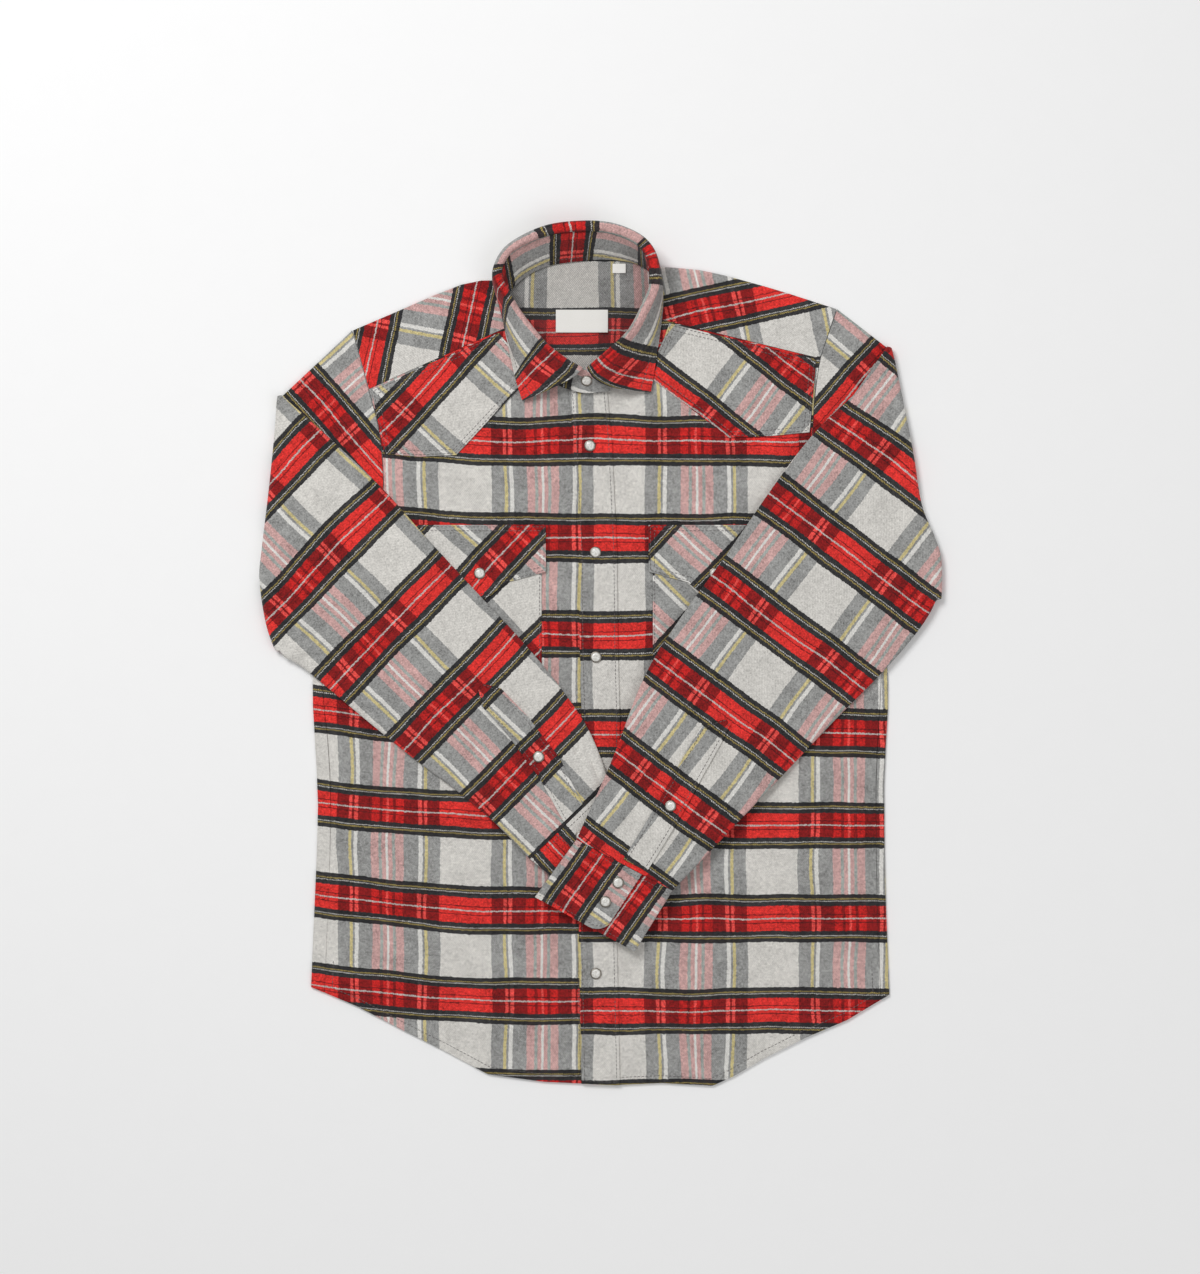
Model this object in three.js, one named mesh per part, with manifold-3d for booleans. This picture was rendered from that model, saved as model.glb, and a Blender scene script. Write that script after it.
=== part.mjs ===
// Western snap shirt in checked flannel, laid flat with its front up and its sleeves crossed over it.
// Millimetres, +Z up, +Y towards the collar, the surface it lies on at Z 0.
import * as THREE from 'three';
import Module from 'manifold-3d';
import { mergeVertices } from 'three/addons/utils/BufferGeometryUtils.js';

const wasm = await Module();
wasm.setup();

const table = (names, rows) =>
  rows.map((row) => Object.fromEntries(names.map((name, i) => [name, row[i]])));

// Thicknesses and levels
const CLOTH = 1.2;
const BAND = 1.4;
const STAND = 1.8;
const LEAF = 1.6;
const GAP = 0.3;
const SEAM = 0.4;
const FRONT_Z = CLOTH + GAP;
const OVER_Z = FRONT_Z + CLOTH + GAP;
const FLAP_Z = OVER_Z + CLOTH + GAP;
const FOLD_R = FRONT_Z / 2;
const FOLD_IN = FOLD_R + CLOTH / 2;
const FOLD_LIP = 6;

// Outline of the body, with the shirt-tail hem from left to right
const HEM = table(['x', 'y'], [
  [-271, -311], [-228, -329], [-186, -351], [-148, -370], [-105, -393], [-52, -400], [15, -403],
  [58, -401], [105, -404], [125, -395], [154, -378], [192, -359], [232, -342], [272, -318],
]);

// Side folds from the hem up to the underarm, and how far in the side seam lies on the front
const SIDE_LEFT = table(['y', 'x', 'seam'], [
  [-311, -271.5, 12.5], [-230, -268, 12.5], [-140, -265, 12], [-77, -268, 12], [-17, -270, 8], [43, -261, 2],
]);
const SIDE_RIGHT = table(['y', 'x', 'seam'], [
  [-318, 272, 8], [-230, 268.6, 8], [-120, 267, 7.5], [-50, 270.5, 7.5], [0, 270, 5], [58, 267, 2],
]);

// Armholes from the top of the shoulder down to the underarm
const ARMHOLE_LEFT = table(['x', 'y'], [
  [-232, 306], [-224.6, 279], [-217, 251], [-208.6, 220], [-204.4, 190], [-203, 160], [-207, 124], [-219, 92],
  [-239, 65], [-262, 43],
]);
const ARMHOLE_RIGHT = table(['x', 'y'], [
  [222, 326], [214, 302.5], [206.5, 279.7], [201.4, 245], [199.3, 210], [201, 170], [208, 130], [222, 98],
  [243, 76], [267, 58],
]);

// Shoulder folds, and the seams where the back yoke ends on the front, both from armhole to neck
const SHOULDER_LEFT = table(['x', 'y', 'seamX', 'seamY'], [
  [-232, 306, -217, 251], [-184, 326.5, -183, 266.2], [-130, 349, -140, 285.4],
  [-98, 353, -100, 303.3], [-84, 347, -81, 311.5],
]);
const SHOULDER_RIGHT = table(['x', 'y', 'seamX', 'seamY'], [
  [222, 326, 206.5, 279.7], [179, 340, 168, 289.1], [136, 352.5, 128, 298.9],
  [94, 362.5, 88, 308.7], [49, 366, 48, 318.5],
]);
const BACK_YOKE = table(['x', 'y'], [[-203.5, 176], [-5, 118], [200.9, 176]]);

// Neckline: the back one on the yoke, and the two front ones from shoulder to centre
const NECK_BACK = table(['x', 'y'], [
  [-84, 345.6], [-70, 360], [-49, 369.5], [-22, 373.5], [2, 375.5], [27, 373.5], [40, 369], [49, 364.6],
]);
const NECK_LEFT = table(['x', 'y'], [
  [-81, 311], [-79.5, 300], [-67.5, 283], [-52, 267.5], [-36, 256.5], [-26, 252],
]);
const NECK_RIGHT = table(['x', 'y'], [[48, 318], [47, 311], [39, 292], [22, 270], [4, 255.5], [-18, 250]]);

// Centre placket: its free edge, and its width
const PLACKET = table(['y', 'x'], [
  [-403, 18.8], [-272, 16], [-60, 18.8], [6, 17], [100, 16], [203, 11], [250, 6.6],
]);
const PLACKET_WIDTH = 36;
const PLACKET_TUCK = 6;

// Front yokes, corner by corner: shoulder, neck, where the slant meets the neck, the point, armhole
const FRONT_YOKE_LEFT = table(['x', 'y'], [
  [-214.5, 250], [-95, 303.4], [-84, 290], [-66, 263], [-76, 251.3], [-134.9, 188.6], [-170, 187],
  [-202.5, 190],
]);
const FRONT_YOKE_RIGHT = table(['x', 'y'], [
  [203, 278.5], [65, 312.4], [60, 298], [46, 268], [50.8, 258.5], [121.3, 205], [160, 206.5], [196.8, 210],
]);

// Chest pockets with pointed flaps, the same on both sides of the front
const POCKET_X = [-112.8, 107.6];
const POCKET = table(['x', 'y'], [[-58, 119], [-58, -8], [0, -22], [58, -8], [58, 119]]);
const FLAP = table(['x', 'y'], [
  [-62, 123], [-62, 79], [-40, 73], [-25, 69], [-12, 58], [0, 51], [12, 58], [25, 69], [40, 73], [62, 79],
  [62, 123],
]);
const FLAP_SNAP_Y = 77.6;

// Folds of the sleeves beside the body, from the top corner to the elbow
const ELBOW_LEFT = table(['x', 'y'], [
  [-303.6, 244.4], [-305.5, 210], [-311, 155], [-317.5, 100], [-319.6, 72], [-314, 32], [-305.5, 5],
]);
const ELBOW_RIGHT = table(['x', 'y'], [
  [274.5, 290], [284.4, 240], [294.2, 190], [302, 142], [314, 112], [320.5, 90], [321.3, 53],
]);

// Forearms: the upper edge p, the lower edge q, the height of the underside at each, and the thickness
const FOREARM_LEFT = table(['px', 'py', 'qx', 'qy', 'zp', 'zq', 'h'], [
  [-253.4, 204.3, -296, -1, 6.0, 5.4, 5.0],
  [-204.3, 157.4, -286, -6, 6.2, 4.8, 5.0],
  [-160.4, 108.4, -272, -16, 6.6, 4.2, 5.0],
  [-110.3, 54.2, -216.6, -62.3, 6.8, 3.8, 5.0],
  [-75.6, 17, -173.7, -97, 7.0, 3.6, 4.8],
  [-40.9, -24.5, -132.8, -127.7, 7.2, 3.6, 4.6],
  [-10.2, -70, -98, -157, 7.2, 5.2, 4.4],
  [9, -118, -66, -190, 7.2, 7.2, 4.2],
]);
const FOREARM_RIGHT = table(['px', 'py', 'qx', 'qy', 'zp', 'zq', 'h'], [
  [238, 245, 314, 50, 6.0, 5.4, 5.0],
  [200.3, 208.4, 308, 38, 6.0, 5.2, 5.0],
  [163.5, 160.4, 294.2, 18.4, 7.0, 4.4, 5.0],
  [117, 93, 267.7, -12.3, 8.6, 3.8, 5.0],
  [77.6, 39, 217.6, -63, 9.0, 3.6, 4.8],
  [42, -18.4, 172.7, -110.3, 10.5, 6.0, 4.6],
  [10, -100, 118, -167, 13.4, 11.6, 4.4],
  [-22, -171, 68, -219, 15.6, 14.6, 4.2],
]);
const ARMHOLE_H = 3.2;
const ELBOW_H = 5.0;
const ELBOW_LIFT = 6.0;
const ARMHOLE_GAP = 0.9;
const UPPER_STEPS = [0, 0.25, 0.55, 0.85];
const ELBOW_STEPS = 6;
const SLEEVE_ACROSS = [0, 0.012, 0.05, 0.12, 0.22, 0.34, 0.45, 0.55, 0.66, 0.78, 0.88, 0.95, 0.988, 1];
const SLEEVE_SQUARE = 5;

// Cuffs: far corners, height of the underside there, and the lap that the snaps close
const CUFF_LEFT = { pe: [62, -163], qe: [-13, -233], zpe: 7.2, zqe: 7.2 };
const CUFF_RIGHT = { pe: [-61, -225], qe: [32.5, -276.5], zpe: 13.4, zqe: 12 };
const CUFF_LAP = 0.68;
const CUFF_UNDER = 0.4;
const CUFF_CORNER = 14;
const CUFF_SNAPS = { across: 0.54, along: [0.26, 0.58] };

// Sleeve plackets: rows along the forearm with the strip's two edges across it
const SLEEVE_PLACKET_LEFT = table(['s', 'from', 'to'], [
  [4.05, 0.36, 0.41], [4.35, 0.30, 0.47], [5.1, 0.30, 0.49], [6, 0.305, 0.52], [6.94, 0.32, 0.55],
]);
const SLEEVE_PLACKET_RIGHT = table(['s', 'from', 'to'], [
  [4.85, 0.53, 0.57], [5.12, 0.434, 0.59], [5.55, 0.438, 0.61], [6, 0.445, 0.64], [6.94, 0.46, 0.70],
]);
const SLEEVE_SNAPS = { left: { s: 5.68, t: 0.42 }, right: { s: 6.06, t: 0.54 } };

// Collar stand from its lapped front end round the neck: the base b and the top t of each section
const COLLAR_STAND = table(['bx', 'by', 'bz', 'tx', 'ty', 'tz'], [
  [10, 249, 7.6, 9.5, 266, 16.6], [-14, 247, 7.9, -13, 269, 19.3], [-36, 253, 6.5, -31, 277, 20.2],
  [-54, 265, 4.6, -47, 289, 21.4], [-70, 281, 4.1, -60, 303, 23], [-82, 300, 4.1, -74.5, 322, 24.5],
  [-88, 320, 4.1, -85, 340, 26], [-88, 334, 4.1, -92, 356, 26], [-82, 346, 3.9, -86, 372, 26],
  [-68, 358, 2.3, -72, 382.5, 26], [-48, 367, 2.3, -47, 392.5, 26], [-22, 371, 2.3, -20, 396, 26],
  [2, 373, 2.3, 6, 395, 26], [26, 371, 2.3, 27, 388, 27], [40, 366, 2.7, 39, 379, 28],
  [50, 357, 3.9, 45, 366, 29], [55, 338, 4.1, 46, 345, 28], [52, 316, 4.1, 39, 327, 25.5],
  [42, 290, 4.1, 27, 304.5, 23], [24, 267, 4.8, 10, 288, 20], [2, 252, 5.6, -4, 273, 17],
  [-11, 247.5, 5.6, -10, 268.5, 16.9],
]);

// Collar leaf from its left point to its right point: the fold t and the free edge o of each section
const COLLAR_LEAF = table(['tx', 'ty', 'tz', 'ox', 'oy', 'oz'], [
  [-16.4, 268.9, 21, -72.5, 239.5, 5.5], [-31, 277, 21.9, -75, 247, 5.5], [-47, 289, 23, -78, 257, 5.5],
  [-60, 303, 24.6, -81, 269, 5.5], [-74.5, 322, 26.1, -85.5, 291, 5.5], [-85, 340, 27.6, -91, 316, 5.5],
  [-92, 356, 27.6, -97, 344, 5.5], [-86, 372, 27.6, -95, 364, 4.2], [-72, 382.5, 27.6, -79, 380, 2.6],
  [-47, 392.5, 27.6, -50, 394, 2.6], [-20, 396, 27.6, -21, 398, 2.6], [6, 395, 27.6, 7, 397, 2.6],
  [27, 388, 28.6, 30, 389, 2.6], [39, 379, 29.6, 43, 380, 3.2], [45, 366, 30.6, 52, 367, 4.2],
  [46, 345, 29.6, 58, 346, 5.5], [39, 327, 27.1, 58.5, 327, 5.5], [27, 304.5, 24.6, 56, 304, 5.5],
  [10, 288, 22.6, 52, 276, 5.5], [-12.6, 268.9, 21, 47.5, 247.5, 5.5],
]);
const LEAF_ROLL = 8.6;

// How far the leaf's two front edges bow out, and over how many sections the bow fades
const LEAF_BOW = { left: -3, right: 8.4, fade: 1.5, skew: 0.65 };
const COLLAR_SNAP = { x: -12.6, up: 0.5 };

// Snaps: a pearl cap in a metal rim
const SNAP = { rim: 5.3, cap: 4.3, rimHigh: 1.4, high: 2.2 };
const FRONT_SNAPS = table(['x', 'y'], [
  [-9.4, 197.4], [-4.2, 97.3], [-3.8, -0.9], [-3.8, -99.6], [-3.8, -199.3], [-3.8, -298],
]);

// Blank labels inside the neck
const NECK_LABEL = { x: -17, y: 314.5, wide: 49, deep: 21.5 };
const SIZE_LABEL = { x: 18, y: 364, wide: 12.5, deep: 9 };
const LABEL = 1.0;

// Colours
const FLANNEL = new THREE.MeshStandardMaterial({ color: 0xb42a2a, roughness: 0.95, metalness: 0 });
const LABEL_CLOTH = new THREE.MeshStandardMaterial({ color: 0xe9e7e0, roughness: 0.8, metalness: 0 });
const PEARL = new THREE.MeshStandardMaterial({ color: 0xe6e4de, roughness: 0.25, metalness: 0.1 });

// Small helpers for points, curves and tables
const mix = (a, b, t) => a + (b - a) * t;
const mixPoint = (a, b, t) => a.map((value, i) => mix(value, b[i], t));
const add = (a, b, scale = 1) => a.map((value, i) => value + b[i] * scale);
const unit = (a) => {
  const length = Math.hypot(...a);
  return a.map((value) => value / length);
};
const across = (a, b) => [
  a[1] * b[2] - a[2] * b[1], a[2] * b[0] - a[0] * b[2], a[0] * b[1] - a[1] * b[0],
];

function lookUp(rows, key, value, at) {
  const last = rows.length - 1;
  let i = 0;
  while (i < last - 1 && at > rows[i + 1][key]) i += 1;
  const part = (at - rows[i][key]) / (rows[i + 1][key] - rows[i][key]);
  return mix(rows[i][value], rows[i + 1][value], Math.min(Math.max(part, 0), 1));
}

function smoothRow(rows, t) {
  const last = rows.length - 1;
  const at = Math.min(Math.max(t, 0), 1) * last;
  const i = Math.min(Math.floor(at), last - 1);
  const f = at - i;
  const near = [rows[Math.max(i - 1, 0)], rows[i], rows[i + 1], rows[Math.min(i + 2, last)]];
  return near[1].map((_, k) => {
    const [a, b, c, d] = near.map((row) => row[k]);
    const bend = (2 * a - 5 * b + 4 * c - d) * f * f + (3 * b - a - 3 * c + d) * f ** 3;
    return 0.5 * (2 * b + (c - a) * f + bend);
  });
}

const columns = (rows, ...names) => rows.map((row) => names.map((name) => row[name]));
const samples = (rows, count) => Array.from({ length: count + 1 }, (_, i) => smoothRow(rows, i / count));

// Closed solids from grids of points
function closedMesh(points, faces) {
  const at = (i) => points[i];
  let volume = 0;
  for (let i = 0; i < faces.length; i += 3) {
    const [a, b, c] = [at(faces[i]), at(faces[i + 1]), at(faces[i + 2])];
    const n = across(b, c);
    volume += a[0] * n[0] + a[1] * n[1] + a[2] * n[2];
  }
  if (volume < 0) {
    for (let i = 0; i < faces.length; i += 3) [faces[i], faces[i + 1]] = [faces[i + 1], faces[i]];
  }
  const geometry = new THREE.BufferGeometry();
  geometry.setAttribute('position', new THREE.Float32BufferAttribute(points.flat(), 3));
  geometry.setIndex(faces);
  return geometry;
}

function sheet(front, back) {
  const rows = front.length;
  const cols = front[0].length;
  const at = (side, i, j) => (side * rows + i) * cols + j;
  const faces = [];
  const quad = (a, b, c, d) => faces.push(a, b, c, a, c, d);
  for (let i = 0; i < rows - 1; i += 1) {
    for (let j = 0; j < cols - 1; j += 1) {
      quad(at(0, i, j), at(0, i, j + 1), at(0, i + 1, j + 1), at(0, i + 1, j));
      quad(at(1, i, j), at(1, i + 1, j), at(1, i + 1, j + 1), at(1, i, j + 1));
    }
  }
  for (let j = 0; j < cols - 1; j += 1) {
    quad(at(0, 0, j), at(1, 0, j), at(1, 0, j + 1), at(0, 0, j + 1));
    quad(at(0, rows - 1, j), at(0, rows - 1, j + 1), at(1, rows - 1, j + 1), at(1, rows - 1, j));
  }
  for (let i = 0; i < rows - 1; i += 1) {
    quad(at(0, i, 0), at(0, i + 1, 0), at(1, i + 1, 0), at(1, i, 0));
    quad(at(0, i, cols - 1), at(1, i, cols - 1), at(1, i + 1, cols - 1), at(0, i + 1, cols - 1));
  }
  return closedMesh([...front.flat(), ...back.flat()], faces);
}

function thickSheet(middle, thick) {
  const rows = middle.length;
  const cols = middle[0].length;
  const normal = (i, j) => {
    const up = middle[Math.min(i + 1, rows - 1)][j];
    const down = middle[Math.max(i - 1, 0)][j];
    const right = middle[i][Math.min(j + 1, cols - 1)];
    const left = middle[i][Math.max(j - 1, 0)];
    return unit(across(add(up, down, -1), add(right, left, -1)));
  };
  const side = (distance) => middle.map((row, i) => row.map((point, j) => {
    const way = normal(i, j);
    return add(point, way, distance);
  }));
  return sheet(side(thick / 2), side(-thick / 2));
}

function tube(outer, inner) {
  const rows = outer.length;
  const cols = outer[0].length;
  const at = (side, i, j) => (side * rows + i) * cols + (j % cols);
  const faces = [];
  const quad = (a, b, c, d) => faces.push(a, b, c, a, c, d);
  for (let j = 0; j < cols; j += 1) {
    for (let i = 0; i < rows - 1; i += 1) {
      quad(at(0, i, j), at(0, i, j + 1), at(0, i + 1, j + 1), at(0, i + 1, j));
      quad(at(1, i, j), at(1, i + 1, j), at(1, i + 1, j + 1), at(1, i, j + 1));
    }
    quad(at(0, 0, j), at(1, 0, j), at(1, 0, j + 1), at(0, 0, j + 1));
    quad(at(0, rows - 1, j), at(0, rows - 1, j + 1), at(1, rows - 1, j + 1), at(1, rows - 1, j));
  }
  return closedMesh([...outer.flat(), ...inner.flat()], faces);
}

function flatPanel(outline, z, thick) {
  const shape = new THREE.Shape(outline.map(([x, y]) => new THREE.Vector2(x, y)));
  const geometry = new THREE.ExtrudeGeometry(shape, { depth: thick, bevelEnabled: false });
  return geometry.translate(0, 0, z);
}

function joined(...geometries) {
  const solids = geometries.map((geometry) => {
    const plain = geometry.clone();
    plain.deleteAttribute('normal');
    plain.deleteAttribute('uv');
    const merged = mergeVertices(plain, 1e-4);
    return new wasm.Manifold(new wasm.Mesh({
      numProp: 3,
      vertProperties: merged.attributes.position.array,
      triVerts: new Uint32Array(merged.index.array),
    }));
  });
  const mesh = solids.reduce((sum, solid) => sum.add(solid)).getMesh();
  const geometry = new THREE.BufferGeometry();
  geometry.setAttribute('position', new THREE.BufferAttribute(mesh.vertProperties, 3));
  geometry.setIndex(new THREE.BufferAttribute(mesh.triVerts, 1));
  return geometry;
}

// Strip that turns the back's cloth over a fold and on to the front, from the fold to a seam
function foldStrip(fold, seam, followHem) {
  const turn = [0, 1, 2, 3, 4].map((k) => (k * Math.PI) / 4);
  const section = (reach) => [
    [FOLD_IN + FOLD_LIP, CLOTH / 2, -1],
    ...turn.map((a) => [FOLD_IN - FOLD_R * Math.sin(a), CLOTH / 2 + FOLD_R * (1 - Math.cos(a)), 0]),
    [reach, FRONT_Z + CLOTH / 2, 1],
  ];
  const rows = fold.map((point, i) => {
    const way = unit(add(seam[i], point, -1));
    const reach = Math.hypot(...add(seam[i], point, -1));
    return section(reach).map(([inward, z]) => {
      const [x, y] = add(point, way, inward);
      return [x, followHem ? followHem(x, i) : y, z];
    });
  });
  const out = [[0, -1], ...turn.map((a) => [-Math.sin(a), -Math.cos(a)]), [0, 1]];
  const side = (distance) => rows.map((row, i) => {
    const way = unit(add(seam[i], fold[i], -1));
    return row.map(([x, y, z], j) => {
      const [inward, up] = out[j];
      return [x + way[0] * inward * distance, y + way[1] * inward * distance, z + up * distance];
    });
  });
  return sheet(side(CLOTH / 2), side(-CLOTH / 2));
}

// Body outlines
const hemY = (x) => lookUp(HEM, 'x', 'y', x);
const hemPoints = (from, to) => [
  [from, hemY(from)],
  ...columns(HEM, 'x', 'y').filter(([x]) => x > from + 2 && x < to - 2),
  [to, hemY(to)],
];
const sideRows = (side) => samples(columns(side, 'y', 'x', 'seam'), 10);
const placketEdge = (y) => lookUp(PLACKET, 'y', 'x', y);
const armholePoints = (armhole, low, high) =>
  SLEEVE_ACROSS.map((t) => smoothRow(columns(armhole, 'x', 'y'), t)).filter(([, y]) => y > low && y < high);
const gapped = (rows, distance) => rows.map(([x, y]) => [x, y - distance]);

function sideStrip(side, inward) {
  const rows = sideRows(side);
  const top = rows[rows.length - 1][0];
  const bottom = rows[0][0];
  const fold = rows.map(([y, x]) => [x, y]);
  const seam = rows.map(([y, x, reach]) => [x + inward * reach, y]);
  const follow = (x, i) => mix(hemY(x), top, (rows[i][0] - bottom) / (top - bottom));
  return foldStrip(fold, seam, follow);
}

function backPanel() {
  const left = sideRows(SIDE_LEFT).map(([y, x]) => [x + FOLD_IN, y]);
  const right = sideRows(SIDE_RIGHT).map(([y, x]) => [x - FOLD_IN, y]);
  const [seamLeft, seamTip, seamRight] = gapped(columns(BACK_YOKE, 'x', 'y'), SEAM);
  const outline = [
    ...hemPoints(left[0][0], right[0][0]),
    ...right.slice(1),
    ...armholePoints(ARMHOLE_RIGHT, 60.5, seamRight[1] - 3).reverse(),
    seamRight,
    seamTip,
    seamLeft,
    ...armholePoints(ARMHOLE_LEFT, 45, seamLeft[1] - 3),
    ...left.slice(1).reverse(),
  ];
  return joined(flatPanel(outline, 0, CLOTH), sideStrip(SIDE_LEFT, 1), sideStrip(SIDE_RIGHT, -1));
}

function shoulderStrip(shoulder) {
  const rows = samples(columns(shoulder, 'x', 'y', 'seamX', 'seamY'), 8);
  return foldStrip(rows.map(([x, y]) => [x, y]), rows.map(([, , x, y]) => [x, y]));
}

function foldEdge(shoulder) {
  return samples(columns(shoulder, 'x', 'y', 'seamX', 'seamY'), 8).map(([x, y, sx, sy]) =>
    add([x, y], unit([sx - x, sy - y]), FOLD_IN));
}

function backYoke() {
  const [seamLeft, seamTip, seamRight] = columns(BACK_YOKE, 'x', 'y');
  const outline = [
    seamLeft,
    seamTip,
    seamRight,
    ...armholePoints(ARMHOLE_RIGHT, seamRight[1] + 3, 318).reverse(),
    ...foldEdge(SHOULDER_RIGHT),
    ...samples(columns(NECK_BACK, 'x', 'y'), 14).reverse().slice(1, -1),
    ...foldEdge(SHOULDER_LEFT).reverse(),
    ...armholePoints(ARMHOLE_LEFT, seamLeft[1] + 3, 298),
  ];
  return joined(flatPanel(outline, 0, CLOTH), shoulderStrip(SHOULDER_LEFT), shoulderStrip(SHOULDER_RIGHT));
}

// Front panels, each under half of the placket
function frontPanel(side, inward, armhole, shoulder, neck, centre) {
  const seam = sideRows(side).map(([y, x, reach]) => [x + inward * (reach + SEAM), y]);
  const shoulderEdge = gapped(samples(columns(shoulder, 'seamX', 'seamY'), 4), SEAM);
  const centreRows = columns(PLACKET, 'x', 'y').map(([x, y]) => [x + centre, y]);
  const top = centreRows.at(-1)[0];
  const neckRows = samples(columns(neck, 'x', 'y'), 10).slice(1);
  const neckline = neckRows.filter(([x]) => (x - top) * inward < -2);
  const [from, to] = [seam[0][0], centreRows[0][0]].sort((a, b) => a - b);
  const hem = inward > 0 ? hemPoints(from, to) : hemPoints(from, to).reverse();
  return [
    ...hem,
    ...centreRows.slice(1, -1),
    [top, 251],
    ...neckline.reverse(),
    ...shoulderEdge.reverse(),
    ...armholePoints(armhole, seam.at(-1)[1] + 3, shoulderEdge.at(-1)[1] - 4),
    ...seam.slice(1).reverse(),
  ];
}

function placketStrip() {
  const edge = columns(PLACKET, 'x', 'y');
  const low = edge[0][0];
  const outline = [
    ...hemPoints(low - PLACKET_WIDTH, low),
    ...edge.slice(1),
    ...edge.slice(1).reverse().map(([x, y]) => [x - PLACKET_WIDTH, y]),
  ];
  return flatPanel(outline, OVER_Z, BAND);
}

// Sleeve tube: rings across the flattened sleeve, from the armhole round the elbow fold to the cuff seam
function sleeveRings(armhole, elbow, forearm, inward) {
  const armholeAt = (t) => smoothRow(columns(armhole, 'x', 'y'), t);
  const armholeLine = (t) => {
    const ahead = armholeAt(Math.min(t + 0.02, 1));
    const behind = armholeAt(Math.max(t - 0.02, 0));
    const [dx, dy] = unit(add(ahead, behind, -1));
    return add(armholeAt(t), [dy * inward, -dx * inward], ARMHOLE_GAP);
  };
  const elbowLine = (t) => smoothRow(columns(elbow, 'x', 'y'), t);
  const low = ELBOW_H / 2;
  const radius = ELBOW_LIFT / 2;
  const foldBack = radius + low;
  const rings = UPPER_STEPS.map((s) => ({
    line: (t) => mixPoint(armholeLine(t), add(elbowLine(t), [inward * foldBack, 0]), s),
    level: () => mix(ARMHOLE_H, ELBOW_H, s) / 2,
    half: mix(ARMHOLE_H, ELBOW_H, s) / 2,
    out: [0, 0, -1],
  }));
  for (let k = 0; k <= ELBOW_STEPS; k += 1) {
    const turn = (k * Math.PI) / ELBOW_STEPS;
    rings.push({
      line: (t) => add(elbowLine(t), [inward * (foldBack - radius * Math.sin(turn)), 0]),
      level: () => low + radius - radius * Math.cos(turn),
      half: low,
      out: [-inward * Math.sin(turn), 0, -Math.cos(turn)],
    });
  }
  forearm.forEach((row) => rings.push({
    line: (t) => [mix(row.px, row.qx, t), mix(row.py, row.qy, t)],
    level: (t) => mix(row.zp, row.zq, t) + row.h / 2,
    half: row.h / 2,
    out: [0, 0, 1],
  }));
  return rings;
}

function ringPoints(ring, wall) {
  const [px, py] = ring.line(0);
  const [qx, qy] = ring.line(1);
  const inset = wall / Math.hypot(qx - px, qy - py);
  const place = (u, side) => {
    const t = mix(inset, 1 - inset, u);
    const round = (1 - Math.abs(2 * u - 1) ** SLEEVE_SQUARE) ** (1 / SLEEVE_SQUARE);
    const rise = side * (ring.half - wall) * round;
    const [x, y] = ring.line(t);
    return [x + ring.out[0] * rise, y + ring.out[1] * rise, ring.level(t) + ring.out[2] * rise];
  };
  return [
    ...SLEEVE_ACROSS.map((u) => place(u, 1)),
    ...SLEEVE_ACROSS.slice(1, -1).reverse().map((u) => place(u, -1)),
  ];
}

function sleeve(rings) {
  return tube(rings.map((ring) => ringPoints(ring, 0)), rings.map((ring) => ringPoints(ring, CLOTH)));
}

// Point on the upper side of a forearm, s rows from its start and t across it
function onForearm(forearm, s, t, above) {
  const i = Math.min(Math.floor(s), forearm.length - 2);
  const place = (row) => [
    mix(row.px, row.qx, t), mix(row.py, row.qy, t), mix(row.zp, row.zq, t) + row.h + above,
  ];
  return mixPoint(place(forearm[i]), place(forearm[i + 1]), s - i);
}

function sleevePlacket(forearm, rows) {
  const level = (above) => rows.map((row) => [0, 0.5, 1].map((u) =>
    onForearm(forearm, row.s, mix(row.from, row.to, u), above)));
  return sheet(level(GAP + CLOTH), level(GAP));
}

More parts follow.
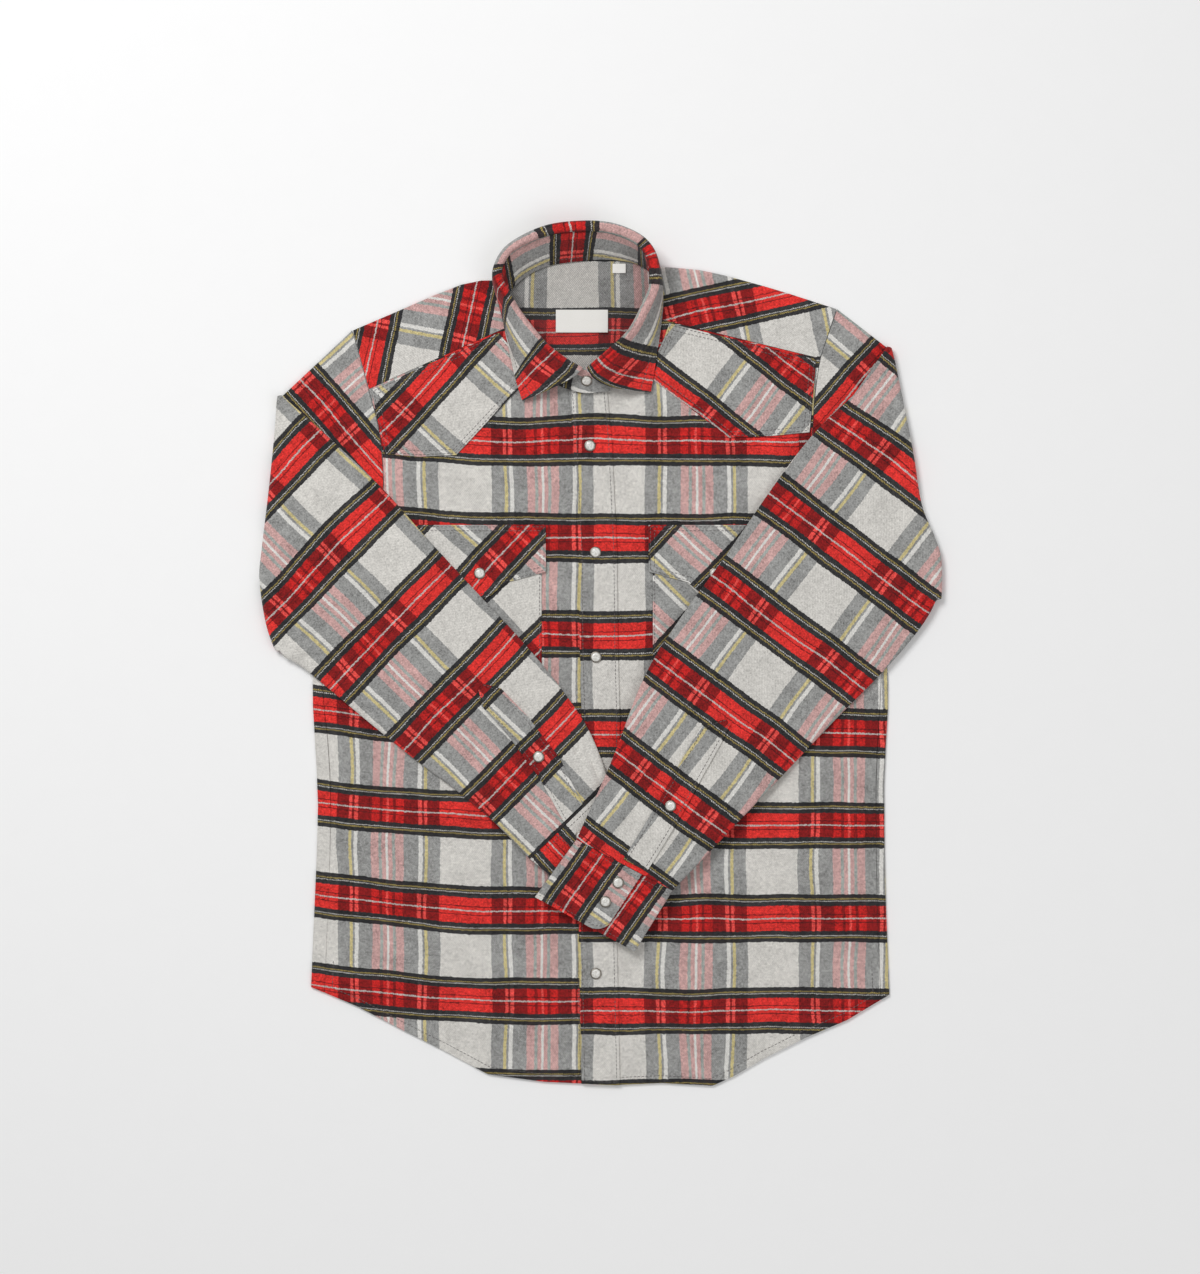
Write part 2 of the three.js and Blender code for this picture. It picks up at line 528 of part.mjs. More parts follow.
// Cuff: one band round the wrist that laps over itself, its far corner rounded
function cuff(forearm, shape) {
  const row = forearm.at(-1);
  const near = { p: [row.px, row.py, row.zp], q: [row.qx, row.qy, row.zq] };
  const far = { p: [...shape.pe, shape.zpe], q: [...shape.qe, shape.zqe] };
  const width = Math.hypot(row.qx - row.px, row.qy - row.py);
  const length = Math.hypot(shape.pe[0] - row.px, shape.pe[1] - row.py);
  const layer = BAND + GAP;
  const under = BAND / 2 + layer;
  const lap = under + layer;
  const half = [under - BAND / 2, lap - BAND / 2].map((rise) => rise / 2);
  const path = [[CUFF_UNDER * width, under, 0, 1], [0.7 * width, under, 0, 1]];
  for (let k = 0; k <= 4; k += 1) {
    const a = (k * Math.PI) / 4;
    const c = width - half[0] - BAND / 2;
    path.push([c + half[0] * Math.sin(a), BAND / 2 + half[0] * (1 + Math.cos(a)), Math.sin(a), Math.cos(a)]);
  }
  path.push([0.5 * width, BAND / 2, 0, -1]);
  for (let k = 0; k <= 4; k += 1) {
    const a = (k * Math.PI) / 4;
    const c = half[1] + BAND / 2;
    const z = BAND / 2 + half[1] * (1 - Math.cos(a));
    path.push([c - half[1] * Math.sin(a), z, -Math.sin(a), -Math.cos(a)]);
  }
  path.push([0.4 * width, lap, 0, 1], [CUFF_LAP * width - CUFF_CORNER, lap, 0, 1]);
  path.push([CUFF_LAP * width - 0.3 * CUFF_CORNER, lap, 0, 1], [CUFF_LAP * width, lap, 0, 1]);
  const trim = path.map((_, i) => {
    const last = path.length - 1;
    return { [last]: CUFF_CORNER, [last - 1]: 0.3 * CUFF_CORNER }[i] ?? 0;
  });
  const start = SEAM / length;
  const steps = [0, 0.25, 0.5, 0.75, 1];
  const side = (distance) => path.map(([c, z, outC, outZ], i) => steps.map((step) => {
    const v = mix(start, 1 - trim[i] / length, step);
    const t = (c + outC * distance) / width;
    const edge = mixPoint(mixPoint(near.p, near.q, t), mixPoint(far.p, far.q, t), v);
    return [edge[0], edge[1], edge[2] + z + outZ * distance];
  }));
  return { geometry: sheet(side(BAND / 2), side(-BAND / 2)), near, far, top: lap + BAND / 2 };
}

function cuffSnapPlaces(band) {
  return CUFF_SNAPS.along.map((v) => {
    const t = CUFF_SNAPS.across;
    const edge = mixPoint(mixPoint(band.near.p, band.near.q, t), mixPoint(band.far.p, band.far.q, t), v);
    return [edge[0], edge[1], edge[2] + band.top];
  });
}

// Collar stand and the leaf that folds over it
const collarRows = (rows, ...names) => samples(columns(rows, ...names), (rows.length - 1) * 2);

function collarStand() {
  const middle = collarRows(COLLAR_STAND, 'bx', 'by', 'bz', 'tx', 'ty', 'tz').map((row) =>
    [0, 0.5, 1].map((v) => mixPoint(row.slice(0, 3), row.slice(3), v)));
  return thickSheet(middle, STAND);
}

function leafBow(k) {
  const left = Math.max(0, 1 - k / LEAF_BOW.fade);
  const right = Math.max(0, 1 - (COLLAR_LEAF.length - 1 - k) / LEAF_BOW.fade);
  return LEAF_BOW.left * left + LEAF_BOW.right * right;
}

function collarLeaf() {
  const rows = collarRows(COLLAR_LEAF, 'tx', 'ty', 'tz', 'ox', 'oy', 'oz');
  const middle = rows.map((row, i) => {
    const fold = row.slice(0, 3);
    const edge = row.slice(3);
    const ahead = rows[Math.min(i + 1, rows.length - 1)];
    const behind = rows[Math.max(i - 1, 0)];
    const [dx, dy] = unit([ahead[0] - behind[0], ahead[1] - behind[1]]);
    const [wx, wy] = unit([edge[0] - fold[0] - 12 * dy, edge[1] - fold[1] + 12 * dx]);
    const out = (reach, up) => [fold[0] + wx * reach, fold[1] + wy * reach, fold[2] + up];
    const roll = out(LEAF_ROLL, 0.4);
    const fall = mixPoint(roll, edge, 0.5);
    const section = [fold, out(2, 2.4), out(5.4, 2.7), roll, add(fall, [wx * 1.5, wy * 1.5, 1.2]), edge];
    const [ex, ey] = unit([edge[0] - fold[0], edge[1] - fold[1]]);
    const reach = Math.hypot(edge[0] - fold[0], edge[1] - fold[1]);
    const bow = leafBow((i * (COLLAR_LEAF.length - 1)) / (rows.length - 1));
    return samples(section, 8).map((point) => {
      const u = Math.min(Math.hypot(point[0] - fold[0], point[1] - fold[1]) / reach, 1);
      const side = bow * Math.sin(Math.PI * u ** LEAF_BOW.skew);
      return add(point, [ey * side, -ex * side, 0]);
    });
  });
  return thickSheet(middle, LEAF);
}

// Snap: a domed pearl cap inside a metal rim, turned about its axis
function snapGeometry() {
  const { rim, cap, rimHigh, high } = SNAP;
  const profile = [
    [0, 0], [rim, 0], [rim, rimHigh * 0.6], [rim - 0.5, rimHigh], [cap, rimHigh], [cap * 0.7, high * 0.9],
    [0, high],
  ];
  const lathe = new THREE.LatheGeometry(profile.map(([r, z]) => new THREE.Vector2(r, z)), 12);
  return lathe.rotateX(Math.PI / 2);
}

// Assembly
const shirt = new THREE.Group();

function addPiece(name, geometry, material = FLANNEL) {
  const mesh = new THREE.Mesh(geometry, material.clone());
  mesh.name = name;
  shirt.add(mesh);
  return mesh;
}

function addSnap(name, [x, y, z], normal = [0, 0, 1]) {
  const snap = addPiece(name, snapGeometry(), PEARL);
  snap.position.set(...add([x, y, z], normal, GAP));
  snap.quaternion.setFromUnitVectors(new THREE.Vector3(0, 0, 1), new THREE.Vector3(...normal));
}

addPiece('back', backPanel());
addPiece('back_yoke', backYoke());
addPiece('front_left', flatPanel(
  frontPanel(SIDE_LEFT, 1, ARMHOLE_LEFT, SHOULDER_LEFT, NECK_LEFT, PLACKET_TUCK - PLACKET_WIDTH),
  FRONT_Z, CLOTH));
addPiece('front_right', flatPanel(
  frontPanel(SIDE_RIGHT, -1, ARMHOLE_RIGHT, SHOULDER_RIGHT, NECK_RIGHT, PLACKET_TUCK + 1 - PLACKET_WIDTH),
  FRONT_Z, CLOTH));
addPiece('front_placket', placketStrip());
addPiece('front_yoke_left', flatPanel(columns(FRONT_YOKE_LEFT, 'x', 'y'), OVER_Z, CLOTH));
addPiece('front_yoke_right', flatPanel(columns(FRONT_YOKE_RIGHT, 'x', 'y'), OVER_Z, CLOTH));

['left', 'right'].forEach((side, i) => {
  const placed = (rows) => columns(rows, 'x', 'y').map(([x, y]) => [x + POCKET_X[i], y]);
  addPiece(`pocket_${side}`, flatPanel(placed(POCKET), OVER_Z, CLOTH));
  addPiece(`pocket_flap_${side}`, flatPanel(placed(FLAP), FLAP_Z, CLOTH));
  addSnap(`snap_pocket_${side}`, [POCKET_X[i], FLAP_SNAP_Y, FLAP_Z + CLOTH]);
});

const SLEEVES = {
  left: [ARMHOLE_LEFT, ELBOW_LEFT, FOREARM_LEFT, 1, CUFF_LEFT, SLEEVE_PLACKET_LEFT],
  right: [ARMHOLE_RIGHT, ELBOW_RIGHT, FOREARM_RIGHT, -1, CUFF_RIGHT, SLEEVE_PLACKET_RIGHT],
};
Object.entries(SLEEVES).forEach(([side, [armhole, elbow, forearm, inward, cuffShape, placketRows]]) => {
  addPiece(`sleeve_${side}`, sleeve(sleeveRings(armhole, elbow, forearm, inward)));
  addPiece(`sleeve_placket_${side}`, sleevePlacket(forearm, placketRows));
  const band = cuff(forearm, cuffShape);
  addPiece(`cuff_${side}`, band.geometry);
  const { s, t } = SLEEVE_SNAPS[side];
  addSnap(`snap_sleeve_${side}`, onForearm(forearm, s, t, GAP + CLOTH));
  cuffSnapPlaces(band).forEach((place, k) => addSnap(`snap_cuff_${side}_${k + 1}`, place));
});

addPiece('collar_stand', collarStand());
addPiece('collar_leaf', collarLeaf());
const [standBase, standTop] = [COLLAR_STAND[1], COLLAR_STAND[1]].map((row, k) =>
  (k ? [COLLAR_SNAP.x, row.ty, row.tz] : [COLLAR_SNAP.x, row.by, row.bz]));
const standNormal = unit(across([1, 0, 0], add(standTop, standBase, -1)));
const standPlace = add(mixPoint(standBase, standTop, COLLAR_SNAP.up), standNormal, STAND / 2);
addSnap('snap_collar', standPlace, standNormal);

FRONT_SNAPS.forEach(({ x, y }, i) => addSnap(`snap_front_${i + 1}`, [x, y, OVER_Z + BAND]));

[['neck_label', NECK_LABEL], ['size_label', SIZE_LABEL]].forEach(([name, label]) => {
  const [w, d] = [label.wide / 2, label.deep / 2];
  const outline = [[-w, -d], [w, -d], [w, d], [-w, d]].map(([x, y]) => [x + label.x, y + label.y]);
  addPiece(name, flatPanel(outline, FRONT_Z, LABEL), LABEL_CLOTH);
});

export default shirt;
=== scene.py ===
import math
import random
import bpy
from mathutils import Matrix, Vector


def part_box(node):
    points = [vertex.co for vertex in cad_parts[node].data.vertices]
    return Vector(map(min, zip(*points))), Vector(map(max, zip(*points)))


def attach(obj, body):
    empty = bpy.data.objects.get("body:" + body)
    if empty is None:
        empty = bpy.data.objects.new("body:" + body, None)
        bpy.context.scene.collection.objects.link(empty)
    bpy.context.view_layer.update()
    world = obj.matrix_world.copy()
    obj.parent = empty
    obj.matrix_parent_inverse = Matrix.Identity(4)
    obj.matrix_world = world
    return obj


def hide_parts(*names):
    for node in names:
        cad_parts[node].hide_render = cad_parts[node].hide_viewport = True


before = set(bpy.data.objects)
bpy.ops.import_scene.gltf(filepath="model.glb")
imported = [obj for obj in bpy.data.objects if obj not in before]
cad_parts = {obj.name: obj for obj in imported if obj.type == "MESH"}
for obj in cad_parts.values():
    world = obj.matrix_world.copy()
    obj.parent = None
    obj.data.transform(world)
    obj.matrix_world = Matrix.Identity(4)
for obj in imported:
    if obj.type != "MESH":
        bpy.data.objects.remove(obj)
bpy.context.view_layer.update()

from types import SimpleNamespace

import bmesh
import bpy
import numpy as np
from bpy.props import FloatProperty, FloatVectorProperty, PointerProperty
from bpy.types import Operator, Panel, PropertyGroup
from mathutils import Matrix, Vector
from mathutils.bvhtree import BVHTree

bl_info = {
    "name": "Western snap shirt",
    "version": (1, 0, 0),
    "blender": (4, 5, 0),
    "location": "3D View > Sidebar > Shirt",
    "description": "Dresses a laid checked flannel shirt with pointed yokes, flap pockets and pearl snaps",
    "category": "Object",
}

# All lengths in the tables are millimetres in the shirt's own frame.
MM = 0.001
SIDES = ("left", "right")
# Pieces in the scene by name, and the outer faces of the finer walls by solid
MADE = {}
GRIDS = {}

# Where the checks lie on each piece: the weft's direction, a point on the middle of a red band, a point
# on the middle of a cream stripe, and how far apart the bands lie compared with the cloth off the bolt.
LAYS = {
    "yoke_inside": ((1.0, 0.0), (0, 305), (-26, 300), 1.0),
    "yoke_left": ((0.204, 0.979), (-126, 300), (-169, 264.4), 0.95),
    "yoke_right": ((0.977, 0.214), (118, 329), (178, 299), 1.0),
    "yoke_outside": ((0.777, -0.629), (-60, 250), (0, 200), 1.0),
    "front_yoke_left": ((0.676, 0.737), (-173, 244), (-124.7, 229.5), 1.0),
    "front_yoke_right": ((0.787, -0.617), (86, 232.8), (93, 282), 1.0),
    "pocket_left": ((0.72, 0.69), (-60.7, 2.1), (-70.1, 55.5), 1.0),
    "pocket_right": ((0.68, 0.73), (68.7, -1.9), (101.1, 83.3), 1.0),
    "pocket_flap_left": ((0.68, 0.735), (-92.5, 94.3), (-156, 88.8), 1.0),
    "pocket_flap_right": ((0.68, 0.73), (46, 121.5), (40.9, 49.3), 1.0),
    "upper_left": ((0.662, -0.75), (-241.7, 216), (-211.2, 176.6), 1.0),
    "upper_right": ((0.671, 0.741), (238, 250), (220.4, 239), 1.0),
    "forearm_left": ((0.70, 0.714), (-132, -34), (-195.3, 92.5), 1.004),
    "forearm_right": ((0.80, -0.60), (176, 22), (208.3, 55.8), 1.055),
    "sleeve_placket_left": ((0.70, 0.714), (-58.4, -95.4), (-248, 38.8), 1.004),
    "sleeve_placket_right": ((0.80, -0.60), (176, 22), (226.7, 42), 1.055),
    "cuff_lap_right": ((0.567, 0.823), (-17, -213.6), (-26.6, -272), 1.0),
    "cuff_right": ((0.567, 0.823), (20.6, -237.8), (-26.6, -272), 1.0),
    "cuff_lap_left": ((0.66, -0.75), (-41.6, -180.1), (-20, -150), 1.0),
    "cuff_left": ((0.66, -0.75), (-41.6, -180.1), (-20, -150), 1.0),
}

# Heights at which the middles of the red bands cross the fronts, each row one band lower
BAND_HEIGHTS = {
    "left": [383, 293, 202, 110, 20.5, -65, -151.5, -240, -324, -410],
    "right": [384, 294, 202.5, 110, 19.5, -73, -158, -247, -333, -420],
}
BAND_PITCH = 88.0
BAND_AT_ZERO = 4
FRONT_CREAM_X = 18
BAND_LIFT = {"from_x": -94, "over": 146, "rise": 12}

# How folds sway aside, as a share of their width and over which length, and how much of each is even
RIDGE_SWAY = {"sway": 0.12, "beat": 11.0, "plain": 0.35}
TUCK_SWAY = {"sway": 0.1, "beat": 9.0, "plain": 0.4}
CRUMPLE_SPREAD = 7.0
# Soft ridges in the laid cloth: middle, direction in degrees, half length, half width, height
RIDGES = [
    (-138, 168, 92, 34, 9, 1.3), (-58, 226, 68, 22, 6, 1.6), (-36, 232, 104, 24, 6, 1.8),
    (34, 232, 74, 26, 7, 1.8), (150, 250, 128, 34, 10, 1.5), (96, 262, 112, 20, 8, 1.0),
    (-150, 232, 62, 30, 9, 1.2), (226, -60, 84, 46, 8, 1.3), (238, -190, 96, 60, 10, 1.2),
    (180, -262, 78, 70, 13, 1.1), (96, -318, 88, 56, 12, 1.3), (-64, -300, 96, 60, 12, 1.2),
    (-150, -250, 82, 72, 13, 1.2), (-236, -140, 94, 80, 10, 1.3), (-222, -290, 70, 40, 9, 1.0),
    (-200, -100, 60, 40, 10, 1.0), (128, -220, 60, 44, 9, 0.9), (-30, 60, 88, 40, 7, 0.8),
    (28, 50, 92, 46, 7, 0.8),
]
SLEEVE_RIDGES = {
    "left": [
        (-286, 118, 104, 30, 9, 2.0), (-262, 40, 46, 34, 9, 1.8), (-276, 8, 20, 26, 8, 1.6),
        (-232, 62, 70, 30, 12, 1.2), (-180, 60, 130, 44, 12, 1.1), (-150, -20, 44, 40, 11, 1.1),
        (-64, -46, 124, 30, 8, 1.2), (-44, -92, 128, 40, 5, 1.5), (-22, -100, 121, 36, 4.5, 1.6),
        (-2, -98, 118, 30, 4, 1.4),
    ],
    "right": [
        (262, 196, 118, 26, 9, 2.4), (252, 140, 70, 24, 10, 2.2), (290, 120, 110, 26, 8, 1.8),
        (304, 92, 146, 22, 7, 1.6), (236, 92, 38, 30, 12, 1.3), (180, 60, 62, 46, 12, 1.2),
        (140, -30, 128, 40, 11, 1.2), (30, -128, 61, 46, 5, 2.0), (12, -138, 63, 30, 4, 1.6),
        (66, -152, 58, 36, 5, 1.6), (88, -140, 54, 34, 6, 1.4),
    ],
}

# Sharper folds, in the same columns
SLEEVE_TUCKS = {
    "left": [
        (-9, -107, 113, 26, 8, 3.4), (-27, -84, 118, 30, 7, 2.4), (-62, -150, 130, 28, 7, 1.4),
        (-268, 176, 66, 46, 11, 2.2), (-296, 60, 78, 40, 10, 2.2), (-280, 2, 30, 30, 8, 1.8),
    ],
    "right": [
        (17, -143, 243, 28, 8, 3.2), (50, -96, 242, 34, 12, 2.8), (40, -160, 238, 26, 7, 1.8),
        (84, -176, 232, 22, 6, 1.5), (272, 196, 292, 40, 12, 2.6), (306, 118, 262, 34, 9, 2.2),
        (236, 268, 260, 40, 9, 2.0),
    ],
}

# Armholes, elbow folds and forearms, as the sleeves are cut and laid
ARMHOLES = {
    "left": [
        (-232, 306), (-224.6, 279), (-217, 251), (-208.6, 220), (-204.4, 190), (-203, 160), (-207, 124),
        (-219, 92), (-239, 65), (-262, 43),
    ],
    "right": [
        (222, 326), (214, 302.5), (206.5, 279.7), (201.4, 245), (199.3, 210), (201, 170), (208, 130),
        (222, 98), (243, 76), (267, 58),
    ],
}
ELBOWS = {
    "left": [
        (-303.6, 244.4), (-305.5, 210), (-311, 155), (-317.5, 100), (-319.6, 72), (-314, 32), (-305.5, 5),
    ],
    "right": [
        (274.5, 290), (284.4, 240), (294.2, 190), (302, 142), (314, 112), (320.5, 90), (321.3, 53),
    ],
}
# Forearm rows: upper edge x and y, lower edge x and y, underside at each edge, thickness
FOREARMS = {
    "left": [
        (-253.4, 204.3, -296, -1, 6.0, 5.4, 5.0), (-204.3, 157.4, -286, -6, 6.2, 4.8, 5.0),
        (-160.4, 108.4, -272, -16, 6.6, 4.2, 5.0), (-110.3, 54.2, -216.6, -62.3, 6.8, 3.8, 5.0),
        (-75.6, 17, -173.7, -97, 7.0, 3.6, 4.8), (-40.9, -24.5, -132.8, -127.7, 7.2, 3.6, 4.6),
        (-10.2, -70, -98, -157, 7.2, 5.2, 4.4), (9, -118, -66, -190, 7.2, 7.2, 4.2),
    ],
    "right": [
        (238, 245, 314, 50, 6.0, 5.4, 5.0), (200.3, 208.4, 308, 38, 6.0, 5.2, 5.0),
        (163.5, 160.4, 294.2, 18.4, 7.0, 4.4, 5.0), (117, 93, 267.7, -12.3, 8.6, 3.8, 5.0),
        (77.6, 39, 217.6, -63, 9.0, 3.6, 4.8), (42, -18.4, 172.7, -110.3, 10.5, 6.0, 4.6),
        (10, -100, 118, -167, 13.4, 11.6, 4.4), (-22, -171, 68, -219, 15.6, 14.6, 4.2),
    ],
}
CUFFS = {
    "left": {"pe": (62, -163, 7.2), "qe": (-13, -233, 7.2)},
    "right": {"pe": (-61, -225, 13.4), "qe": (32.5, -276.5, 12)},
}
# Sleeve placket rows: place along the forearm, and the strip's two edges across it
SLEEVE_PLACKETS = {
    "left": [(4.05, 0.36, 0.41), (4.35, 0.30, 0.47), (5.1, 0.30, 0.49), (6, 0.305, 0.52), (6.94, 0.32, 0.55)],
    "right": [
        (4.85, 0.53, 0.57), (5.12, 0.434, 0.59), (5.55, 0.438, 0.61), (6, 0.445, 0.64), (6.94, 0.46, 0.70),
    ],
}
CUFF_GATHER = {"edge": ((23, -195), (-0.6, -0.8)), "over": 62, "pull": 8}

# Walls of the sleeves, of their strips and of the cuffs' bands, and the gap between layers
CLOTH = 1.2
STRIP = 1.6
BAND = 1.4
GAP = 0.3
TURNED_EDGE = 0.35
# Faces of the small flat pieces, and the level over which a flat piece takes the body's relief
TRIM_GRID = 5
UPPER_LEVEL = 1.35
# How near two corners of a solid join, in metres, and angles at which an edge is a rim or stays sharp
WELD = 2e-6
RIM_ANGLE = 1.2
SHARP_DEGREES = 48
# Height in metres from which plumb lines drop
DROP_HEIGHT = 0.2
# A snap's height, how far it stands clear of the cloth, and where it feels for the cloth
SNAP_TOP = 2.2
SNAP_CLEAR = 0.1
SNAP_FEEL = [(0, 0), (5, 0), (-5, 0), (0, 5), (0, -5)]
# Lights: place, size, and the value that gives the power, in metres; then the floor and the film's side
LIGHTS = {
    "key_light": ((-1.1, 1.5, 2.3), 1.1, "key"),
    "fill_light": ((1.5, -1.0, 2.4), 2.2, "fill"),
}
FLOOR = {"half": 3.0, "level": -0.0004}
SENSOR = 36
# How finely the walls are divided
SLEEVE_RINGS = {"upper": 12, "fold": 13, "forearm": 62}
SLEEVE_EDGE = [0, 0.006, 0.016, 0.032, 0.055, 0.09]
STRIP_GRID = {"tip": 5, "length": 34, "across": 9, "feel": 3}
CUFF_GRID = {"lap": 12, "turn": 9, "under": 16, "down": 19}
COLLAR_GRID = {"stand": 126, "stand_up": 9, "leaf": 152, "leaf_down": 22}
SNAP_TURNS = 48
SLEEVE_SHAPE = {"armhole_high": 3.2, "elbow_high": 5.0, "lift": 6.0, "gap": 0.9, "square": 5}
SLEEVE_CRUMPLE = {"high": 0.8, "finer": 1.4, "apart": 300, "deepest": -0.9}
# The upper arm's cloth lies under this level and outside this distance from the middle
UPPER_ARM = {"below": 5.3, "outside": 196}
CUFF_SHAPE = {"lap": 0.68, "under": 0.4, "corner": 14, "seam": 0.4, "long": 75, "turned": 0.24}

# Collar stand: base and top of each section, from the lapped front end round the neck
STAND = [
    (10, 249, 7.6, 9.5, 266, 16.6), (-14, 247, 7.9, -13, 269, 19.3), (-36, 253, 6.5, -31, 277, 20.2),
    (-54, 265, 4.6, -47, 289, 21.4), (-70, 281, 4.1, -60, 303, 23), (-82, 300, 4.1, -74.5, 322, 24.5),
    (-88, 320, 4.1, -85, 340, 26), (-88, 334, 4.1, -92, 356, 26), (-82, 346, 3.9, -86, 372, 26),
    (-68, 358, 2.3, -72, 382.5, 26), (-48, 367, 2.3, -47, 392.5, 26), (-22, 371, 2.3, -20, 396, 26),
    (2, 373, 2.3, 6, 395, 26), (26, 371, 2.3, 27, 388, 27), (40, 366, 2.7, 39, 379, 28),
    (50, 357, 3.9, 45, 366, 29), (55, 338, 4.1, 46, 345, 28), (52, 316, 4.1, 39, 327, 25.5),
    (42, 290, 4.1, 27, 304.5, 23), (24, 267, 4.8, 10, 288, 20), (2, 252, 5.6, -4, 273, 17),
    (-11, 247.5, 5.6, -10, 268.5, 16.9),
]
# Collar leaf: the fold and the free edge of each section, from the left point to the right point
LEAF = [
    (-16.4, 268.9, 21, -72.5, 239.5, 5.5), (-31, 277, 21.9, -75, 247, 5.5), (-47, 289, 23, -78, 257, 5.5),
    (-60, 303, 24.6, -81, 269, 5.5), (-74.5, 322, 26.1, -85.5, 291, 5.5), (-85, 340, 27.6, -91, 316, 5.5),
    (-92, 356, 27.6, -97, 344, 5.5), (-86, 372, 27.6, -95, 364, 4.2), (-72, 382.5, 27.6, -79, 380, 2.6),
    (-47, 392.5, 27.6, -50, 394, 2.6), (-20, 396, 27.6, -21, 398, 2.6), (6, 395, 27.6, 7, 397, 2.6),
    (27, 388, 28.6, 30, 389, 2.6), (39, 379, 29.6, 43, 380, 3.2), (45, 366, 30.6, 52, 367, 4.2),
    (46, 345, 29.6, 58, 346, 5.5), (39, 327, 27.1, 58.5, 327, 5.5), (27, 304.5, 24.6, 56, 304, 5.5),
    (10, 288, 22.6, 52, 276, 5.5), (-12.6, 268.9, 21, 47.5, 247.5, 5.5),
]
# The leaf's roll over the stand: how far out from the fold and how far up, then how its fall bulges
LEAF_ROLL = [(2, 2.4), (5.4, 2.7), (8.6, 0.4)]
LEAF_FALL = (1.5, 1.2)
LEAF_BOW = {"left": -3, "right": 8.4, "fade": 1.5, "skew": 0.65}
# Cloth's place along the weft at sections of the leaf: section, at the fold, at the free edge
LEAF_BANDS = [
    (0, -28, -13.5), (1.66, 0, 0), (5.5, 88, 88), (9.75, 176, 176), (13.6, 264, 264), (17.75, 335, 335),
    (18.5, 352, 352), (19, 376, 366),
]
COLLAR = {
    "stand": 1.8, "leaf": 1.6, "cream_off": 62, "stand_cream_off": 66,
    "lean": 12, "band_on_stand": (-41.6, 285), "stand_pull": BAND_PITCH / 86.5,
}

# Snaps: the piece that each is set in
SNAPS = {
    **{f"snap_pocket_{side}": f"pocket_flap_{side}" for side in SIDES},
    **{f"snap_sleeve_{side}": f"sleeve_placket_{side}" for side in SIDES},
    **{f"snap_cuff_{side}_{k}": f"cuff_{side}" for side in SIDES for k in (1, 2)},
    "snap_collar": None,
    **{f"snap_front_{k}": "front_placket" for k in range(1, 7)},
}

# Rows of stitching: the pieces, and how far in from each one's edge
EDGE_SEAMS = {
    "placket_stitching": [("front_placket", (3,))],
    "yoke_stitching": [(f"front_yoke_{side}", (1.8, 5.5)) for side in SIDES],
    "pocket_stitching": [
        *((f"pocket_{side}", (1.8,)) for side in SIDES),
        *((f"pocket_flap_{side}", (1.8, 5.5)) for side in SIDES),
    ],
}
HEM_SEAM = {"in": 7, "below": -285}
# A stitch's rings, by place along it and size, then its half width, its middle's height and half height
STITCH_RINGS = [(-0.5, 0.25), (-0.3, 1.0), (0.3, 1.0), (0.5, 0.25)]
STITCH = {"sides": 6, "wide": 0.3, "middle": 0.06, "high": 0.17}
# Stitching on the finer walls: the pieces, and the line of each one's grid
WALL_SEAMS = {
    "sleeve_stitching": [(f"{kind}_{side}", line) for side in SIDES for kind, line in (
        ("sleeve_placket", np.s_[:, 1]), ("sleeve_placket", np.s_[:, -2]),
        ("cuff", np.s_[:, 1]), ("cuff", np.s_[:, -2]), ("cuff", np.s_[-2]),
    )],
    "collar_stitching": [
        ("collar_leaf", np.s_[:, -3]), ("collar_leaf", np.s_[4]), ("collar_leaf", np.s_[-5]),
        ("collar_stand", np.s_[:, 1]),
    ],
}

# Warp stripes from the middle of the cream to the middle of the white: width, and the colours under the
# cream weft and under the red weft
WARP = [
    (26, "cream", "red"), (12.6, "grey", "deep_red"), (2.9, "yellow", "red_on_light"),
    (2.3, "grey", "deep_red"), (4, "white", "red_on_light"), (13.8, "grey", "deep_red"),
    (8, "pink", "mid_red"), (2.9, "sage", "deep_red"), (4, "pink", "mid_red"),
    (1.45, "white", "red_on_light"),
]
# Weft stripes from the middle of the red band to the middle of the cream: width, colour, how much the
# line hides, whether the weft is red, and how much the twill breaks the line
WEFT = [
    (0.65, "white", 0.8, 1, 0.5), (3, "red", 0, 1, 0), (0.8, "line_red", 0.8, 1, 0.3),
    (8, "red", 0, 1, 0), (4.3, "black", 0.97, 0, 0), (0.95, "white", 0.97, 0, 0.9),
    (0.9, "black", 0.97, 0, 0), (1.25, "gold", 0.97, 0, 0.8), (4.2, "black", 0.97, 0, 0),
    (22.95, "cream", 0, 0, 0),
]


# Small tools for curves and grids
def smooth_row(rows, t):
    """A row between the rows of a table, on a smooth curve through them, t from 0 to 1."""
    rows = np.asarray(rows, float)
    last = len(rows) - 1
    at = min(max(t, 0), 1) * last
    i = min(int(at), last - 1)
    f = at - i
    a, b, c, d = (rows[k] for k in (max(i - 1, 0), i, i + 1, min(i + 2, last)))
    return 0.5 * (
        2 * b + (c - a) * f + (2 * a - 5 * b + 4 * c - d) * f * f + (3 * b - a - 3 * c + d) * f ** 3
    )


def samples(rows, count):
    return np.array([smooth_row(rows, i / count) for i in range(count + 1)])


def unit(v):
    v = np.asarray(v, float)
    return v / np.linalg.norm(v, axis=-1, keepdims=True)


def mix(a, b, t):
    return a + (b - a) * t


def smoothstep(low, high, x):
    t = np.clip((x - low) / (high - low), 0, 1)
    return t * t * (3 - 2 * t)


WAVES = random.Random(11)
CRUMPLE = [
    (
        WAVES.uniform(0, math.tau),
        math.tau / WAVES.uniform(38, 120),
        WAVES.uniform(0, math.tau),
        WAVES.uniform(0.4, 1),
    )
    for _ in range(18)
]


def crumple(x, y):
    """Soft uneven rise and fall of laid cloth, from about 0 to 1."""
    total = sum(
        w * np.sin(k * (x * math.cos(a) + y * math.sin(a)) + p) for a, k, p, w in CRUMPLE
    )
    return np.clip(0.5 + total / CRUMPLE_SPREAD, 0, 1)


